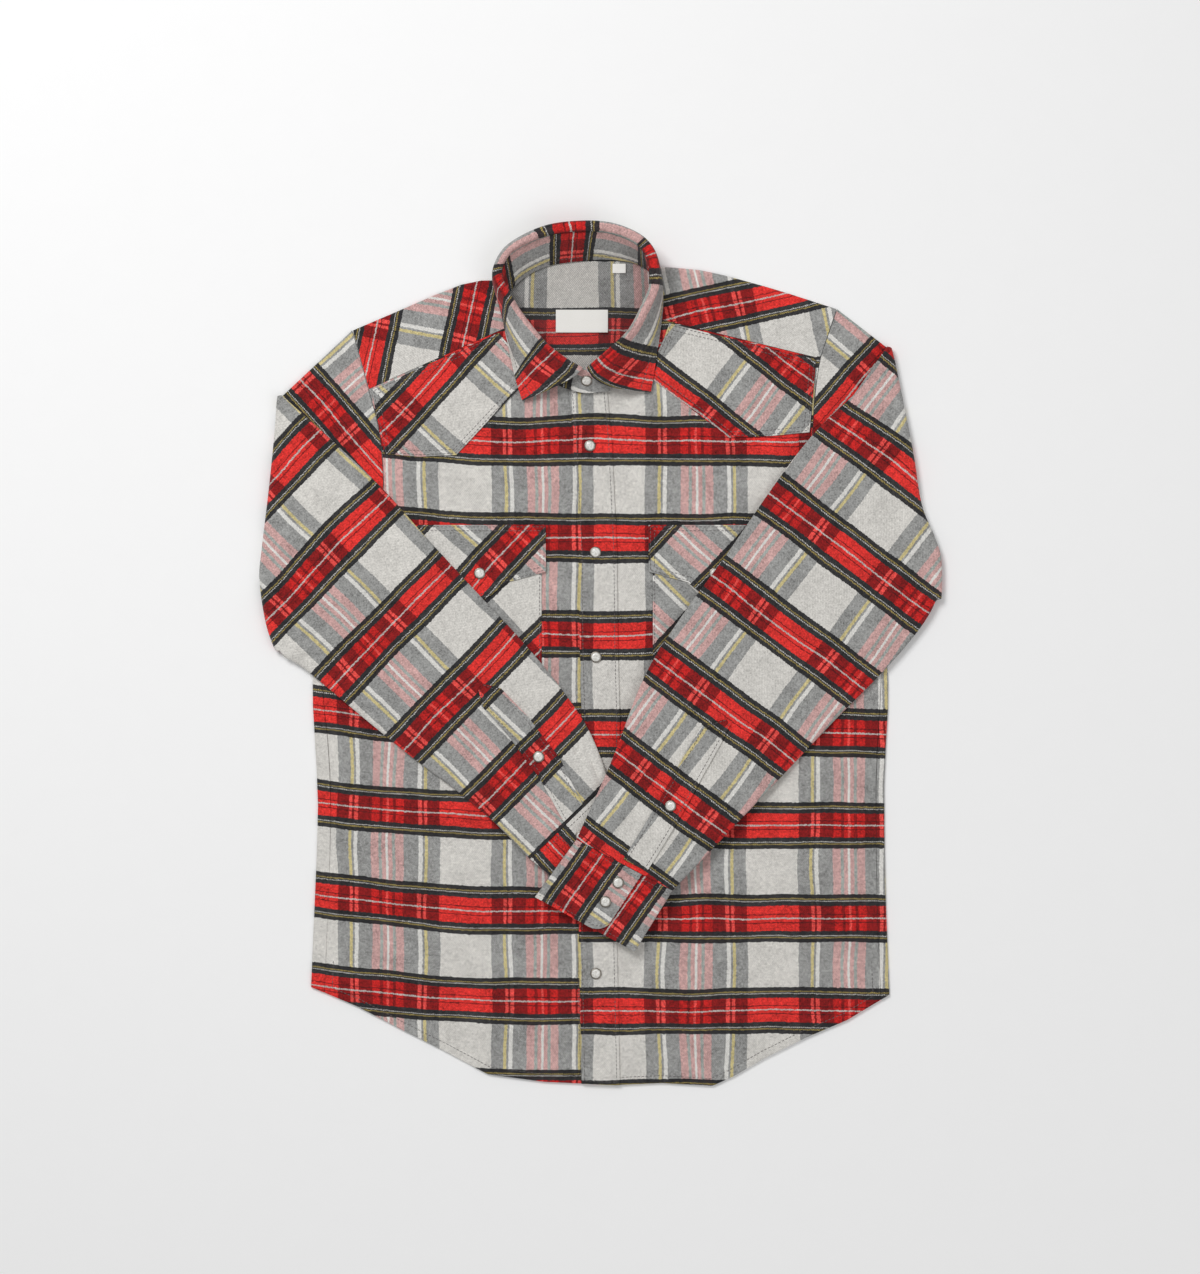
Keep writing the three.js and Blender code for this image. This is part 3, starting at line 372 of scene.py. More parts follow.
def fold_rows(rows, x, y, sway, beat, plain):
    """How far places lie aside from each row's fold, with its width and its height there."""
    for mx, my, way, long, wide, high in rows:
        c, s = math.cos(math.radians(way)), math.sin(math.radians(way))
        along = (x - mx) * c + (y - my) * s
        aside = -(x - mx) * s + (y - my) * c + sway * wide * np.sin(along / beat)
        yield aside, wide, high * (1 - smoothstep(plain * long, long, np.abs(along)))


def tucks(rows, x, y):
    """Folds that rise slowly and fall away sharply on their right, seen along their direction."""
    rise = np.zeros_like(x)
    for aside, wide, high in fold_rows(rows, x, y, **TUCK_SWAY):
        width = np.where(aside < 0, wide * 0.28, wide)
        dip = np.exp(-(((aside + wide * 0.5) / (wide * 0.4)) ** 2))
        rise += high * (np.exp(-((aside / width) ** 2)) - 0.35 * dip)
    return rise


def ridges(rows, x, y):
    """Soft rounded folds."""
    rise = np.zeros_like(x)
    for aside, wide, high in fold_rows(rows, x, y, **RIDGE_SWAY):
        rise += high * np.exp(-((aside / wide) ** 2))
    return rise


def body_relief(x, y):
    """How far the laid body's upper layers rise at a place, nought at its outline."""
    inside = smoothstep(0, 26, 268 - np.abs(x)) * smoothstep(0, 22, y + 396) * smoothstep(0, 26, 352 - y)
    return (0.42 * crumple(x, y) + ridges(RIDGES, x, y)) * inside


# Cloth coordinates
def lay(name):
    """The function that turns places into cloth coordinates: across the warp, and across the weft."""
    way, red, cream, apart = LAYS[name]
    w = unit(way)
    n = np.array([-w[1], w[0]])

    def coordinates(p):
        xy = p[:, :2]
        return np.stack([(xy - cream) @ w, (xy - red) @ n / apart], 1)

    return coordinates


def gathered_lay(name, edge, over, pull):
    """A lay whose weft closes up towards an edge, given by a point and the way towards it."""
    plain = lay(name)
    (ex, ey), (wx, wy) = edge

    def coordinates(p):
        found = plain(p)
        near = (p[:, 0] - ex) * wx + (p[:, 1] - ey) * wy
        found[:, 1] -= pull * smoothstep(-over, 0, near) * (near > -over)
        return found

    return coordinates


def front_lay(side):
    heights = np.array(BAND_HEIGHTS[side], float)[::-1]
    weft = (np.arange(len(heights)) - (len(heights) - 1 - BAND_AT_ZERO)) * BAND_PITCH

    def coordinates(p):
        lift = BAND_LIFT["rise"] * np.clip((BAND_LIFT["from_x"] - p[:, 0]) / BAND_LIFT["over"], 0, 2) ** 1.5
        y = p[:, 1] - (lift if side == "left" else 0)
        return np.stack([p[:, 0] - FRONT_CREAM_X, np.interp(y, heights, weft)], 1)

    return coordinates


# Meshes
def read(rows, key, size=3):
    """One value of every row of a mesh, as an array."""
    found = np.empty(len(rows) * size, np.float32 if size > 1 else np.int32)
    rows.foreach_get(key, found)
    return found.reshape(-1, size) if size > 1 else found


def lay_cloth(mesh, found):
    """Gives a mesh its cloth coordinates, a pair for each corner of its faces."""
    layer = mesh.uv_layers.new(name="cloth")
    layer.uv.foreach_set("vector", found.astype(np.float32).ravel())


def reach_down(mesh, lays, choose=None):
    """Lays the cloth on a mesh, face by face where it has more than one lay."""
    pick = np.zeros(len(mesh.polygons), int)
    if choose:
        pick = choose(read(mesh.polygons, "center") / MM, read(mesh.polygons, "normal"))
    places = read(mesh.vertices, "co") / MM
    found = np.stack([f(places) for f in lays])
    corner_pick = np.repeat(pick, read(mesh.polygons, "loop_total", 1))
    lay_cloth(mesh, found[corner_pick, read(mesh.loops, "vertex_index", 1)])
    return pick


def grid_cloth(mesh, across, along):
    """Lays the cloth on a wall from a grid of its coordinates that both its faces share."""
    flat = np.concatenate([np.stack([across, along], 2).reshape(-1, 2)] * 2)
    lay_cloth(mesh, flat[read(mesh.loops, "vertex_index", 1)])


def link(name, data):
    obj = bpy.data.objects.new(name, data)
    bpy.context.scene.collection.objects.link(obj)
    return obj


def finish_piece(name, mesh, materials, node):
    """Puts a mesh in the scene as a piece that rides with the shirt and may stand for a solid."""
    obj = link(name, mesh)
    for material in materials:
        mesh.materials.append(material)
    mesh.shade_smooth()
    mesh.set_sharp_from_angle(angle=math.radians(SHARP_DEGREES))
    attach(obj, "root")
    if node:
        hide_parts(node)
    MADE[name] = obj
    return obj


def cloth_piece(node, mesh, inside=()):
    """A finished piece of checked flannel named after its solid."""
    materials = [flannel("checked_flannel"), *inside]
    return finish_piece(f"{node}_cloth", mesh, materials, node)


def solid_of(node):
    bm = bmesh.new()
    bm.from_mesh(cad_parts[node].data)
    bmesh.ops.remove_doubles(bm, verts=bm.verts, dist=WELD)
    return bm


def cut_copy(node, step, edge=0.4):
    """A flat solid's mesh with softly rounded edges, cut into a grid of faces."""
    bm = solid_of(node)
    bmesh.ops.dissolve_limit(bm, angle_limit=math.radians(0.6), verts=bm.verts, edges=bm.edges)
    if edge:
        rim = [e for e in bm.edges if len(e.link_faces) == 2 and e.calc_face_angle() > RIM_ANGLE]
        bmesh.ops.bevel(bm, geom=rim, offset=edge * MM, segments=2, profile=0.5, affect="EDGES",
                        clamp_overlap=True)
    co = np.array([v.co for v in bm.verts])
    low, high = co.min(0), co.max(0)
    for axis, normal in ((0, Vector((1, 0, 0))), (1, Vector((0, 1, 0)))):
        for place in np.arange(low[axis] + step * MM * 0.6, high[axis], step * MM):
            bmesh.ops.bisect_plane(bm, geom=bm.verts[:] + bm.edges[:] + bm.faces[:], dist=1e-6,
                                   plane_co=normal * place, plane_no=normal)
    mesh = bpy.data.meshes.new(f"{node}_cloth")
    bmesh.ops.recalc_face_normals(bm, faces=bm.faces)
    bm.to_mesh(mesh)
    bm.free()
    for layer in list(mesh.uv_layers):
        mesh.uv_layers.remove(layer)
    return mesh


def raise_mesh(mesh, rise):
    """Lifts the upper vertices by rise(x, y), in millimetres."""
    co = read(mesh.vertices, "co")
    x, y, z = co.T.astype(float) / MM
    part = smoothstep(UPPER_LEVEL - 0.5, UPPER_LEVEL + 0.5, z)
    co[:, 2] += (part * rise(x, y) * MM).astype(np.float32)
    mesh.vertices.foreach_set("co", co.ravel())
    mesh.update()


def flat_piece(node, step, lays, edge=0.4, choose=None):
    """A flat piece with the body's relief, cut from the check as its lays say."""
    mesh = cut_copy(node, step, edge)
    reach_down(mesh, lays, choose)
    raise_mesh(mesh, body_relief)
    cloth_piece(node, mesh)


def closed_mesh(name, points, faces):
    """A mesh from points in millimetres, with all its faces turned out."""
    mesh = bpy.data.meshes.new(name)
    mesh.from_pydata((np.array(points) * MM).tolist(), [], faces)
    bm = bmesh.new()
    bm.from_mesh(mesh)
    bmesh.ops.recalc_face_normals(bm, faces=bm.faces)
    bm.to_mesh(mesh)
    bm.free()
    return mesh


def grid_mesh(node, outer, inner, wrap=False):
    """A closed wall between two matching grids of points, kept for the seams and the snaps."""
    GRIDS[node] = outer
    rows, cols = outer.shape[:2]
    spans = cols if wrap else cols - 1
    faces = []

    def quad(*corners):
        faces.append(tuple((side * rows + i) * cols + j % cols for side, i, j in corners))

    for i in range(rows - 1):
        for j in range(spans):
            quad((0, i, j), (0, i, j + 1), (0, i + 1, j + 1), (0, i + 1, j))
            quad((1, i, j), (1, i + 1, j), (1, i + 1, j + 1), (1, i, j + 1))
    for j in range(spans):
        for i in (0, rows - 1):
            quad((0, i, j), (1, i, j), (1, i, j + 1), (0, i, j + 1))
    if not wrap:
        for i in range(rows - 1):
            for j in (0, cols - 1):
                quad((0, i, j), (0, i + 1, j), (1, i + 1, j), (1, i, j))
    points = np.concatenate([outer.reshape(-1, 3), inner.reshape(-1, 3)])
    return closed_mesh(f"{node}_cloth", points, faces)


def facing(grid):
    """The way that each point of a grid faces."""
    return unit(np.cross(np.gradient(grid, axis=0), np.gradient(grid, axis=1)))


def thick_grids(middle, thick):
    """The two faces of a sheet of the given thickness about a grid of middle points."""
    normal = facing(middle)
    return middle + normal * thick / 2, middle - normal * thick / 2


def tree_of(node):
    bm = bmesh.new()
    bm.from_mesh(MADE[f"{node}_cloth"].data)
    tree = BVHTree.FromBMesh(bm)
    bm.free()
    return tree


def drop_on(tree, x, y):
    """The place and normal where a plumb line at x and y, in millimetres, first meets a surface."""
    return tree.ray_cast(Vector((x * MM, y * MM, DROP_HEIGHT)), Vector((0, 0, -1)))[:2]


# Materials
def tint(*look):
    """Linear values of a colour given as it looks, 0 to 255."""
    return tuple((c / 255 / 12.92) if c <= 10 else ((c / 255 + 0.055) / 1.055) ** 2.4 for c in look)


class Wires:
    """Adds nodes to a tree and wires them."""

    def __init__(self, tree):
        self.tree = tree
        self.column = 0

    def node(self, kind, feeds=None, **settings):
        made = self.tree.nodes.new(kind)
        self.column += 1
        made.location = (self.column * 180, 0)
        for key, value in settings.items():
            setattr(made, key, value)
        self.feed(made, feeds or {})
        return made

    def feed(self, node, feeds):
        """Links or sets a node's inputs, given by name or place."""
        for key, value in feeds.items():
            if isinstance(value, bpy.types.NodeSocket):
                self.tree.links.new(value, node.inputs[key])
            else:
                node.inputs[key].default_value = value

    def math(self, operation, a, b=None):
        feeds = {0: a} if b is None else {0: a, 1: b}
        return self.node("ShaderNodeMath", feeds, operation=operation).outputs[0]

    def vector(self, operation, a, b):
        second = "Scale" if operation == "SCALE" else 1
        return self.node("ShaderNodeVectorMath", {0: a, second: b}, operation=operation).outputs[0]

    def sum(self, *terms):
        """Adds up values, each with its share."""
        parts = [self.math("MULTIPLY", value, share) for value, share in terms]
        total = parts[0]
        for part in parts[1:]:
            total = self.math("ADD", total, part)
        return total

    def ramped(self, value, low, span):
        """A value from 0 to 1 turned into one from low to low plus span."""
        return self.math("ADD", low, self.math("MULTIPLY", value, span))

    def mix(self, factor, a, b, blend="MIX"):
        a, b = (v if isinstance(v, bpy.types.NodeSocket) else (*v, 1.0) for v in (a, b))
        return self.node("ShaderNodeMix", {0: factor, 6: a, 7: b}, data_type="RGBA",
                         blend_type=blend).outputs[2]

    def split(self, kind, value):
        return self.node(f"ShaderNodeSeparate{kind}", {0: value}).outputs

    def gain(self, colour, value):
        """A colour multiplied by a value."""
        triple = self.node("ShaderNodeCombineColor", {k: value for k in range(3)}).outputs[0]
        return self.mix(1.0, colour, triple, "MULTIPLY")

    def noise(self, vector, scale, detail, rough):
        return self.node("ShaderNodeTexNoise", {
            "Vector": vector, "Scale": scale, "Detail": detail, "Roughness": rough,
        }).outputs

    def use(self, tree, feeds):
        return self.node("ShaderNodeGroup", feeds, node_tree=tree).outputs

    def own_place(self):
        return self.node("ShaderNodeTexCoord").outputs["Object"]

    def cloth_place(self):
        return self.node("ShaderNodeUVMap", uv_map="cloth").outputs[0]

    def bump(self, strength, distance, height):
        return self.node("ShaderNodeBump", {
            "Strength": strength, "Distance": distance * MM, "Height": height,
        }).outputs[0]

    def stripes(self, place, rows):
        """A ramp of plain stripes, each row a width and a colour."""
        made = self.node("ShaderNodeValToRGB", {0: place})
        ramp = made.color_ramp
        ramp.interpolation = "CONSTANT"
        total = sum(width for width, _ in rows)
        at = 0.0
        for i, (width, colour) in enumerate(rows):
            stop = ramp.elements[i] if i < 2 else ramp.elements.new(at / total)
            stop.position = at / total
            stop.color = (*colour, 1.0)
            at += width
        return made.outputs[0]


def once(kind):
    """Makes a named group or material only the first time that it is asked for."""
    def wrap(make):
        def find(name, *given):
            return getattr(bpy.data, kind).get(name) or make(name, *given)

        return find

    return wrap


def group(name, inputs, outputs):
    tree = bpy.data.node_groups.new(name, "ShaderNodeTree")
    cloth = ("Cloth", "NodeSocketVector", None)
    for label, kind, value in (cloth, *((label, "NodeSocketFloat", value) for label, value in inputs)):
        socket = tree.interface.new_socket(name=label, in_out="INPUT", socket_type=kind)
        if value is not None:
            socket.default_value = value
    for label in outputs:
        kind = "NodeSocketColor" if label == "Color" else "NodeSocketFloat"
        tree.interface.new_socket(name=label, in_out="OUTPUT", socket_type=kind)
    w = Wires(tree)
    return tree, w, w.node("NodeGroupInput").outputs, w.node("NodeGroupOutput")


@once("node_groups")
def nap_group(name):
    """Raised woollen fibres: a speckle for the colour and a height."""
    tree, w, inside, out = group(name, [("Fibre size", 1.0)], ["Speckle", "Height"])
    size = w.node("ShaderNodeCombineXYZ", {k: inside["Fibre size"] for k in range(3)}).outputs[0]
    scaled = w.vector("DIVIDE", inside["Cloth"], size)
    fine, tufts, cloudy = (w.noise(scaled, *look)["Fac"] for look in (
        (0.62, 3.0, 0.75), (0.24, 2.0, 0.6), (0.04, 3.0, 0.6),
    ))
    w.feed(out, {
        "Speckle": w.sum((fine, 0.55), (tufts, 0.25), (cloudy, 0.2)),
        "Height": w.sum((fine, 0.5), (tufts, 0.9)),
    })
    return tree


@once("node_groups")
def twill_group(name):
    """Slanting twill ribs from the cloth coordinates."""
    tree, w, inside, out = group(name, [("Rib spacing", 1.3)], ["Ribs"])
    parts = w.split("XYZ", inside["Cloth"])
    slant = w.math("ADD", parts[0], w.math("MULTIPLY", parts[1], 0.8))
    turn = w.math("DIVIDE", w.math("MULTIPLY", slant, math.tau), inside["Rib spacing"])
    w.feed(out, {"Ribs": w.ramped(w.math("SINE", turn), 0.5, 0.5)})
    return tree


@once("node_groups")
def check_group(name, cloth):
    """The woven check: warp stripes seen through the weft's bands."""
    tree, w, inside, out = group(name, [("Inside face", 0.0)], ["Color", "Height", "Roughness"])
    place = inside["Cloth"]
    moved = place
    for look, reach in (((0.42, 3.0, 0.7), cloth.blur), ((0.012, 1.0, 0.5), cloth.wander)):
        centred = w.vector("SUBTRACT", w.noise(place, *look)["Color"], (0.5, 0.5, 0.5))
        moved = w.vector("ADD", moved, w.vector("SCALE", centred, reach))
    parts = w.split("XYZ", moved)
    across, along = (
        w.math("DIVIDE", w.math("PINGPONG", part, half), half)
        for part, half in ((parts[0], cloth.warp_half), (parts[1], cloth.weft_half))
    )
    colours = vars(cloth)
    light = w.stripes(across, [(row[0], colours[row[1]]) for row in WARP])
    warm = w.stripes(across, [(row[0], colours[row[2]]) for row in WARP])
    lines = w.stripes(along, [(row[0], colours[row[1]]) for row in WEFT])
    hides, red_weft, broken = w.split("Color", w.stripes(along, [(row[0], row[2:]) for row in WEFT]))
    ground = w.mix(red_weft, light, warm)

    ribs = w.use(twill_group("Twill ribs"), {"Cloth": place, "Rib spacing": cloth.rib})[0]
    hair = w.use(nap_group("Brushed nap"), {"Cloth": place, "Fibre size": cloth.fibre})
    speckle = hair["Speckle"]
    through = w.mix(hides, ground, lines)
    woven = w.mix(w.math("MULTIPLY", broken, w.math("SUBTRACT", 1.0, ribs)), through, cloth.black)

    level = w.node("ShaderNodeRGBToBW", {0: woven}).outputs[0]
    strength = w.math("SUBTRACT", 1.12, level)
    swing = w.math("MULTIPLY", w.math("SUBTRACT", speckle, 0.5), strength)
    napped = w.gain(woven, w.ramped(swing, 1.0, cloth.speckle))
    ribbed = w.gain(napped, w.math("SUBTRACT", 1.0, w.math("MULTIPLY", ribs, cloth.rib_shade)))
    back = w.mix(0.12, ribbed, cloth.inside_grey)
    dark = w.mix(w.math("MULTIPLY", ribs, 0.4), back, (0.02, 0.02, 0.02))
    w.feed(out, {
        "Color": w.mix(inside["Inside face"], ribbed, dark),
        "Height": w.math("ADD", hair["Height"], w.math("MULTIPLY", ribs, 0.35)),
        "Roughness": w.ramped(speckle, 0.84, 0.14),
    })
    return tree


def plain_values(props):
    """A group's values as plain ones: colours as tuples and lengths in millimetres."""
    found = {}
    for key in props.__annotations__:
        kind, value = props.bl_rna.properties[key], getattr(props, key)
        if kind.is_array:
            found[key] = tuple(value)
        else:
            found[key] = value / MM if kind.unit == "LENGTH" else value
    return SimpleNamespace(**found)


def new_material(name):
    material = bpy.data.materials.new(name)
    material.use_nodes = True
    material.node_tree.nodes.clear()
    w = Wires(material.node_tree)
    shader = w.node("ShaderNodeBsdfPrincipled")
    w.node("ShaderNodeOutputMaterial", {0: shader.outputs[0]})
    return material, w, shader


@once("materials")
def flannel(name, inside=0.0):
    """Checked flannel, as its face or its inside looks."""
    check = check_group("Woven check", plain_values(bpy.context.scene.shirt_cloth))
    material, w, shader = new_material(name)
    woven = w.use(check, {"Cloth": w.cloth_place(), "Inside face": inside})
    w.feed(shader, {
        "Base Color": woven["Color"], "Roughness": woven["Roughness"],
        "Normal": w.bump(0.6, 0.5, woven["Height"]),
        "Sheen Weight": 0.12, "Sheen Roughness": 0.6, "Specular IOR Level": 0.15,
    })
    return material


@once("materials")
def thread(name, colour):
    """Sewing thread with a little fuzz."""
    material, w, shader = new_material(name)
    place = w.vector("SCALE", w.own_place(), 1 / MM)
    hair = w.use(nap_group("Brushed nap"), {"Cloth": place, "Fibre size": 0.4})
    dark = tuple(c * 0.55 for c in colour)
    w.feed(shader, {"Base Color": w.mix(hair["Speckle"], dark, colour), "Roughness": 0.7})
    return material


@once("materials")
def label_tape(name):
    """Fine white woven tape."""
    material, w, shader = new_material(name)
    cloth = w.cloth_place()
    ribs = w.use(twill_group("Twill ribs"), {"Cloth": cloth, "Rib spacing": 0.6})
    hair = w.use(nap_group("Brushed nap"), {"Cloth": cloth, "Fibre size": 0.5})
    weave = w.sum((ribs[0], 0.5), (hair[0], 0.5))
    w.feed(shader, {
        "Base Color": w.mix(weave, tint(222, 220, 214), tint(246, 245, 241)),
        "Normal": w.bump(0.3, 0.12, weave), "Roughness": 0.62,
    })
    return material


@once("materials")
def pearl(name, colour):
    """Clouded pearl under a clear coat."""
    material, w, shader = new_material(name)
    swirl = w.noise(w.own_place(), 240.0, 3.0, 0.5)
    bands = w.node("ShaderNodeTexWave", {"Vector": swirl["Color"], "Scale": 1.6, "Distortion": 3.0},
                   wave_type="RINGS", rings_direction="SPHERICAL").outputs
    w.feed(shader, {
        "Base Color": w.mix(bands["Fac"], tint(206, 203, 196), colour),
        "Roughness": w.ramped(swirl["Fac"], 0.16, 0.14), "Coat Weight": 0.6, "Coat Roughness": 0.08,
    })
    return material


@once("materials")
def rim_metal(name):
    """Worn bright metal."""
    material, w, shader = new_material(name)
    wear = w.noise(w.own_place(), 900.0, 4.0, 0.6)["Fac"]
    w.feed(shader, {
        "Base Color": w.mix(wear, tint(112, 106, 98), tint(172, 166, 156)),
        "Roughness": w.ramped(wear, 0.26, 0.2), "Metallic": 0.95,
    })
    return material


# User values
def colour(name, description, *look):
    return FloatVectorProperty(name=name, description=description, size=3, subtype="COLOR",
                               min=0, max=1, default=tint(*look))


def number(name, description, default, low, high, unit="NONE"):
    return FloatProperty(name=name, description=description, default=default, min=low, max=high,
                         unit=unit)


def length(*row):
    return number(*row, unit="LENGTH")


class ShirtClothProperties(PropertyGroup):
    """Colours and sizes of the checked flannel."""

    cream: colour("Cream", "Widest light warp stripe", 219, 216, 210)
    grey: colour("Grey", "Grey of black warp under cream weft", 156, 156, 154)
    yellow: colour("Yellow", "Thin yellow warp stripe", 207, 193, 140)
    pink: colour("Pink", "Pink of red warp under cream weft", 206, 166, 162)
    sage: colour("Sage", "Thin grey-green warp stripe", 166, 171, 166)
    white: colour("White", "Thin white stripe", 226, 224, 219)
    red: colour("Red", "Red band over the light warp", 224, 52, 47)
    deep_red: colour("Deep red", "Red band over the black warp", 138, 24, 25)
    mid_red: colour("Middle red", "Red band over the red warp", 196, 34, 32)
    red_on_light: colour("Red over thin stripes", "Red band over the white and yellow warp", 232, 78, 72)
    black: colour("Black", "Black weft lines", 34, 34, 37)
    gold: colour("Gold", "Yellow weft line between the black ones", 178, 158, 88)
    line_red: colour("Line", "Thin dark lines in the red band", 84, 18, 22)
    inside_grey: colour("Inside", "Grey that shows through on the inside", 96, 96, 98)
    warp_half: length("Half of the warp's repeat", "Cream middle to white middle", 0.0722, 0.02, 0.2)
    weft_half: length("Half of the weft's repeat", "Red middle to cream middle", 0.044, 0.01, 0.2)
    blur: length("Stripe edge", "How far the fibres blur a stripe's edge", 0.0028, 0, 0.01)
    wander: length("Wander", "How far a stripe strays from its line", 0.008, 0, 0.03)
    rib: length("Twill rib", "Spacing of the twill ribs", 0.0019, 0.0005, 0.01)
    fibre: number("Fibre", "Size of the nap's tufts", 1.0, 0.2, 5)
    speckle: number("Speckle", "How much the nap varies the colour", 5.2, 0, 9)
    rib_shade: number("Rib shade", "How much the ribs darken the face", 0.15, 0, 1)
    grid: length("Cloth grid", "Size of the faces of the flat pieces", 0.007, 0.003, 0.03)


class ShirtTrimProperties(PropertyGroup):
    """Sizes and colours of the snaps, labels and stitching."""

    pearl: colour("Pearl", "Colour of the snap caps", 240, 239, 234)
    cap_radius: length("Cap radius", "Radius of the pearl cap", 0.0042, 0.002, 0.01)
    rim_radius: length("Rim radius", "Outside radius of the metal rim", 0.0053, 0.002, 0.012)
    stitch: length("Stitch", "Length of one stitch", 0.0026, 0.001, 0.01)
    stitch_gap: length("Stitch gap", "Gap between two stitches", 0.0011, 0.0002, 0.01)
    thread: colour("Thread", "Colour of the sewing thread", 104, 98, 98)


class ShirtStageProperties(PropertyGroup):
    """Camera, light and floor."""

    lens: number("Lens", "Focal length in millimetres", 85, 20, 300)
    frame_height: length("Frame height", "Height of the picture at the floor", 1.1976, 0.2, 5)
    centre_y: length("Centre", "Height of the picture's middle on the shirt", 0.01786, -1, 1)
    key: number("Key", "Power of the soft key light", 46, 0, 1000, "POWER")
    fill: number("Fill", "Power of the fill light", 17, 0, 1000, "POWER")
    world: number("World", "Strength of the light from all round", 0.38, 0, 10)
    floor: colour("Floor", "Colour of the floor", 250, 250, 250)


# Body
class SHIRT_OT_back(Operator):
    """Make the back panel and the back yoke with its folded shoulders"""

    bl_idname = "shirt.back"
    bl_label = "Back and yoke"

    def execute(self, context):
        step = context.scene.shirt_cloth.grid / MM
        flat_piece("back", step, [front_lay(side) for side in SIDES], 0,
                   lambda c, n: (c[:, 0] > 0).astype(int))
        yoke = cut_copy("back_yoke", step, 0)

        def choose(c, n):
            shoulder = np.where(c[:, 0] < 0, 1, 2)
            return np.where(c[:, 2] > UPPER_LEVEL, shoulder, np.where(n[:, 2] > 0.5, 0, 3))

        lays = [lay(f"yoke_{part}") for part in ("inside", "left", "right", "outside")]
        pick = reach_down(yoke, lays, choose)
        piece = cloth_piece("back_yoke", yoke,
                            inside=[flannel("checked_flannel_inside", 1.0)])
        piece.data.polygons.foreach_set("material_index", (pick == 0).astype(np.int32))
        return {"FINISHED"}


class SHIRT_OT_fronts(Operator):
    """Make the two fronts and the placket strip"""

    bl_idname = "shirt.fronts"
    bl_label = "Fronts and placket"

    def execute(self, context):
        step = context.scene.shirt_cloth.grid / MM
        for node, side, under in (
            ("front_left", "left", "back"),
            ("front_right", "right", "back"),
            ("front_placket", "right", "front_left"),
        ):
            flat_piece(node, step, [front_lay(side)])
        return {"FINISHED"}


class SHIRT_OT_yokes(Operator):
    """Make the two pointed front yokes"""

    bl_idname = "shirt.yokes"
    bl_label = "Front yokes"

    def execute(self, context):
        for side in SIDES:
            node = f"front_yoke_{side}"
            flat_piece(node, TRIM_GRID, [lay(node)])
        return {"FINISHED"}


class SHIRT_OT_pockets(Operator):
    """Make the chest pockets and their pointed flaps"""

    bl_idname = "shirt.pockets"
    bl_label = "Pockets and flaps"

    def execute(self, context):
        for side in SIDES:
            for kind, under in (("pocket", "front"), ("pocket_flap", "pocket")):
                node = f"{kind}_{side}"
                flat_piece(node, TRIM_GRID, [lay(node)])
        return {"FINISHED"}


# Sleeves
def plain_forearm_at(side, s):
    """Row of the forearm at a place along it, 0 at the elbow and 7 at the cuff."""
    rows = np.array(FOREARMS[side], float)
    i = min(int(s), len(rows) - 2)
    return mix(rows[i], rows[i + 1], s - i)


def sleeve_rings(side):
    """Each ring's middle line, its level, its half height and the way that its outside faces."""
    inward = 1 if side == "left" else -1
    shape = SLEEVE_SHAPE
    low = shape["elbow_high"] / 2
    radius = shape["lift"] / 2
    back = radius + low
    rings = []

    def armhole(t):
        ahead = smooth_row(ARMHOLES[side], min(t + 0.02, 1))
        behind = smooth_row(ARMHOLES[side], max(t - 0.02, 0))
        dx, dy = unit(ahead - behind)
        return smooth_row(ARMHOLES[side], t) + np.array([dy * inward, -dx * inward]) * shape["gap"]

    def elbow(t, away):
        return smooth_row(ELBOWS[side], t) + np.array([inward * away, 0])

    for s in np.linspace(0, 0.92, SLEEVE_RINGS["upper"]):
        high = mix(shape["armhole_high"], shape["elbow_high"], s)
        rings.append((lambda t, s=s: mix(armhole(t), elbow(t, back), s),
                      lambda t, h=high: h / 2, high / 2, (0, 0, -1)))
    for a in np.linspace(0, math.pi, SLEEVE_RINGS["fold"]):
        rings.append((lambda t, a=a: elbow(t, back - radius * math.sin(a)),
                      lambda t, a=a: low + radius - radius * math.cos(a), low,
                      (-inward * math.sin(a), 0, -math.cos(a))))
    for s in np.linspace(0, 1, SLEEVE_RINGS["forearm"]):
        row = smooth_row(FOREARMS[side], s)
        rings.append((lambda t, r=row: mix(r[0:2], r[2:4], t),
                      lambda t, r=row: mix(r[4], r[5], t) + r[6] / 2, row[6] / 2, (0, 0, 1)))
    return rings


def sleeve_walls(side):
    """The outer and inner faces of a sleeve, and the column where its lower half starts."""
    far_edge = [1 - v for v in SLEEVE_EDGE[::-1]]
    across = np.array([*SLEEVE_EDGE, *np.linspace(0.125, 0.875, 25), *far_edge])
    outer, inner = [], []
    for line, level, half, out in sleeve_rings(side):
        inset = CLOTH / np.linalg.norm(line(1) - line(0))
        for grid, wall, pad in ((outer, 0, 0), (inner, CLOTH, inset)):
            ring = []
            for flip, turn in ((1, across), (-1, across[1:-1][::-1])):
                for u in turn:
                    t = mix(pad, 1 - pad, u)
                    rise = flip * (half - wall) * (1 - abs(2 * u - 1) ** SLEEVE_SHAPE["square"]) ** 0.2
                    ring.append(np.array([*line(t), level(t)]) + np.array(out) * rise)
            grid.append(ring)
    return np.array(outer), np.array(inner), len(across)


def sleeve_relief(side, x, y):
    """How far the top of a forearm rises or sinks at a place."""
    finer = SLEEVE_CRUMPLE["finer"]
    soft = SLEEVE_CRUMPLE["high"] * crumple(x * finer + SLEEVE_CRUMPLE["apart"], y * finer)
    soft += ridges(SLEEVE_RIDGES[side], x, y) + tucks(SLEEVE_TUCKS[side], x, y)
    soft = np.maximum(soft, SLEEVE_CRUMPLE["deepest"])
    if side == "left":
        # Flat where the other sleeve lies on it
        soft = soft * (1 - smoothstep(-8, 22, (x + 30) * 0.7 - (y + 100) * 0.7 - 30))
    return soft


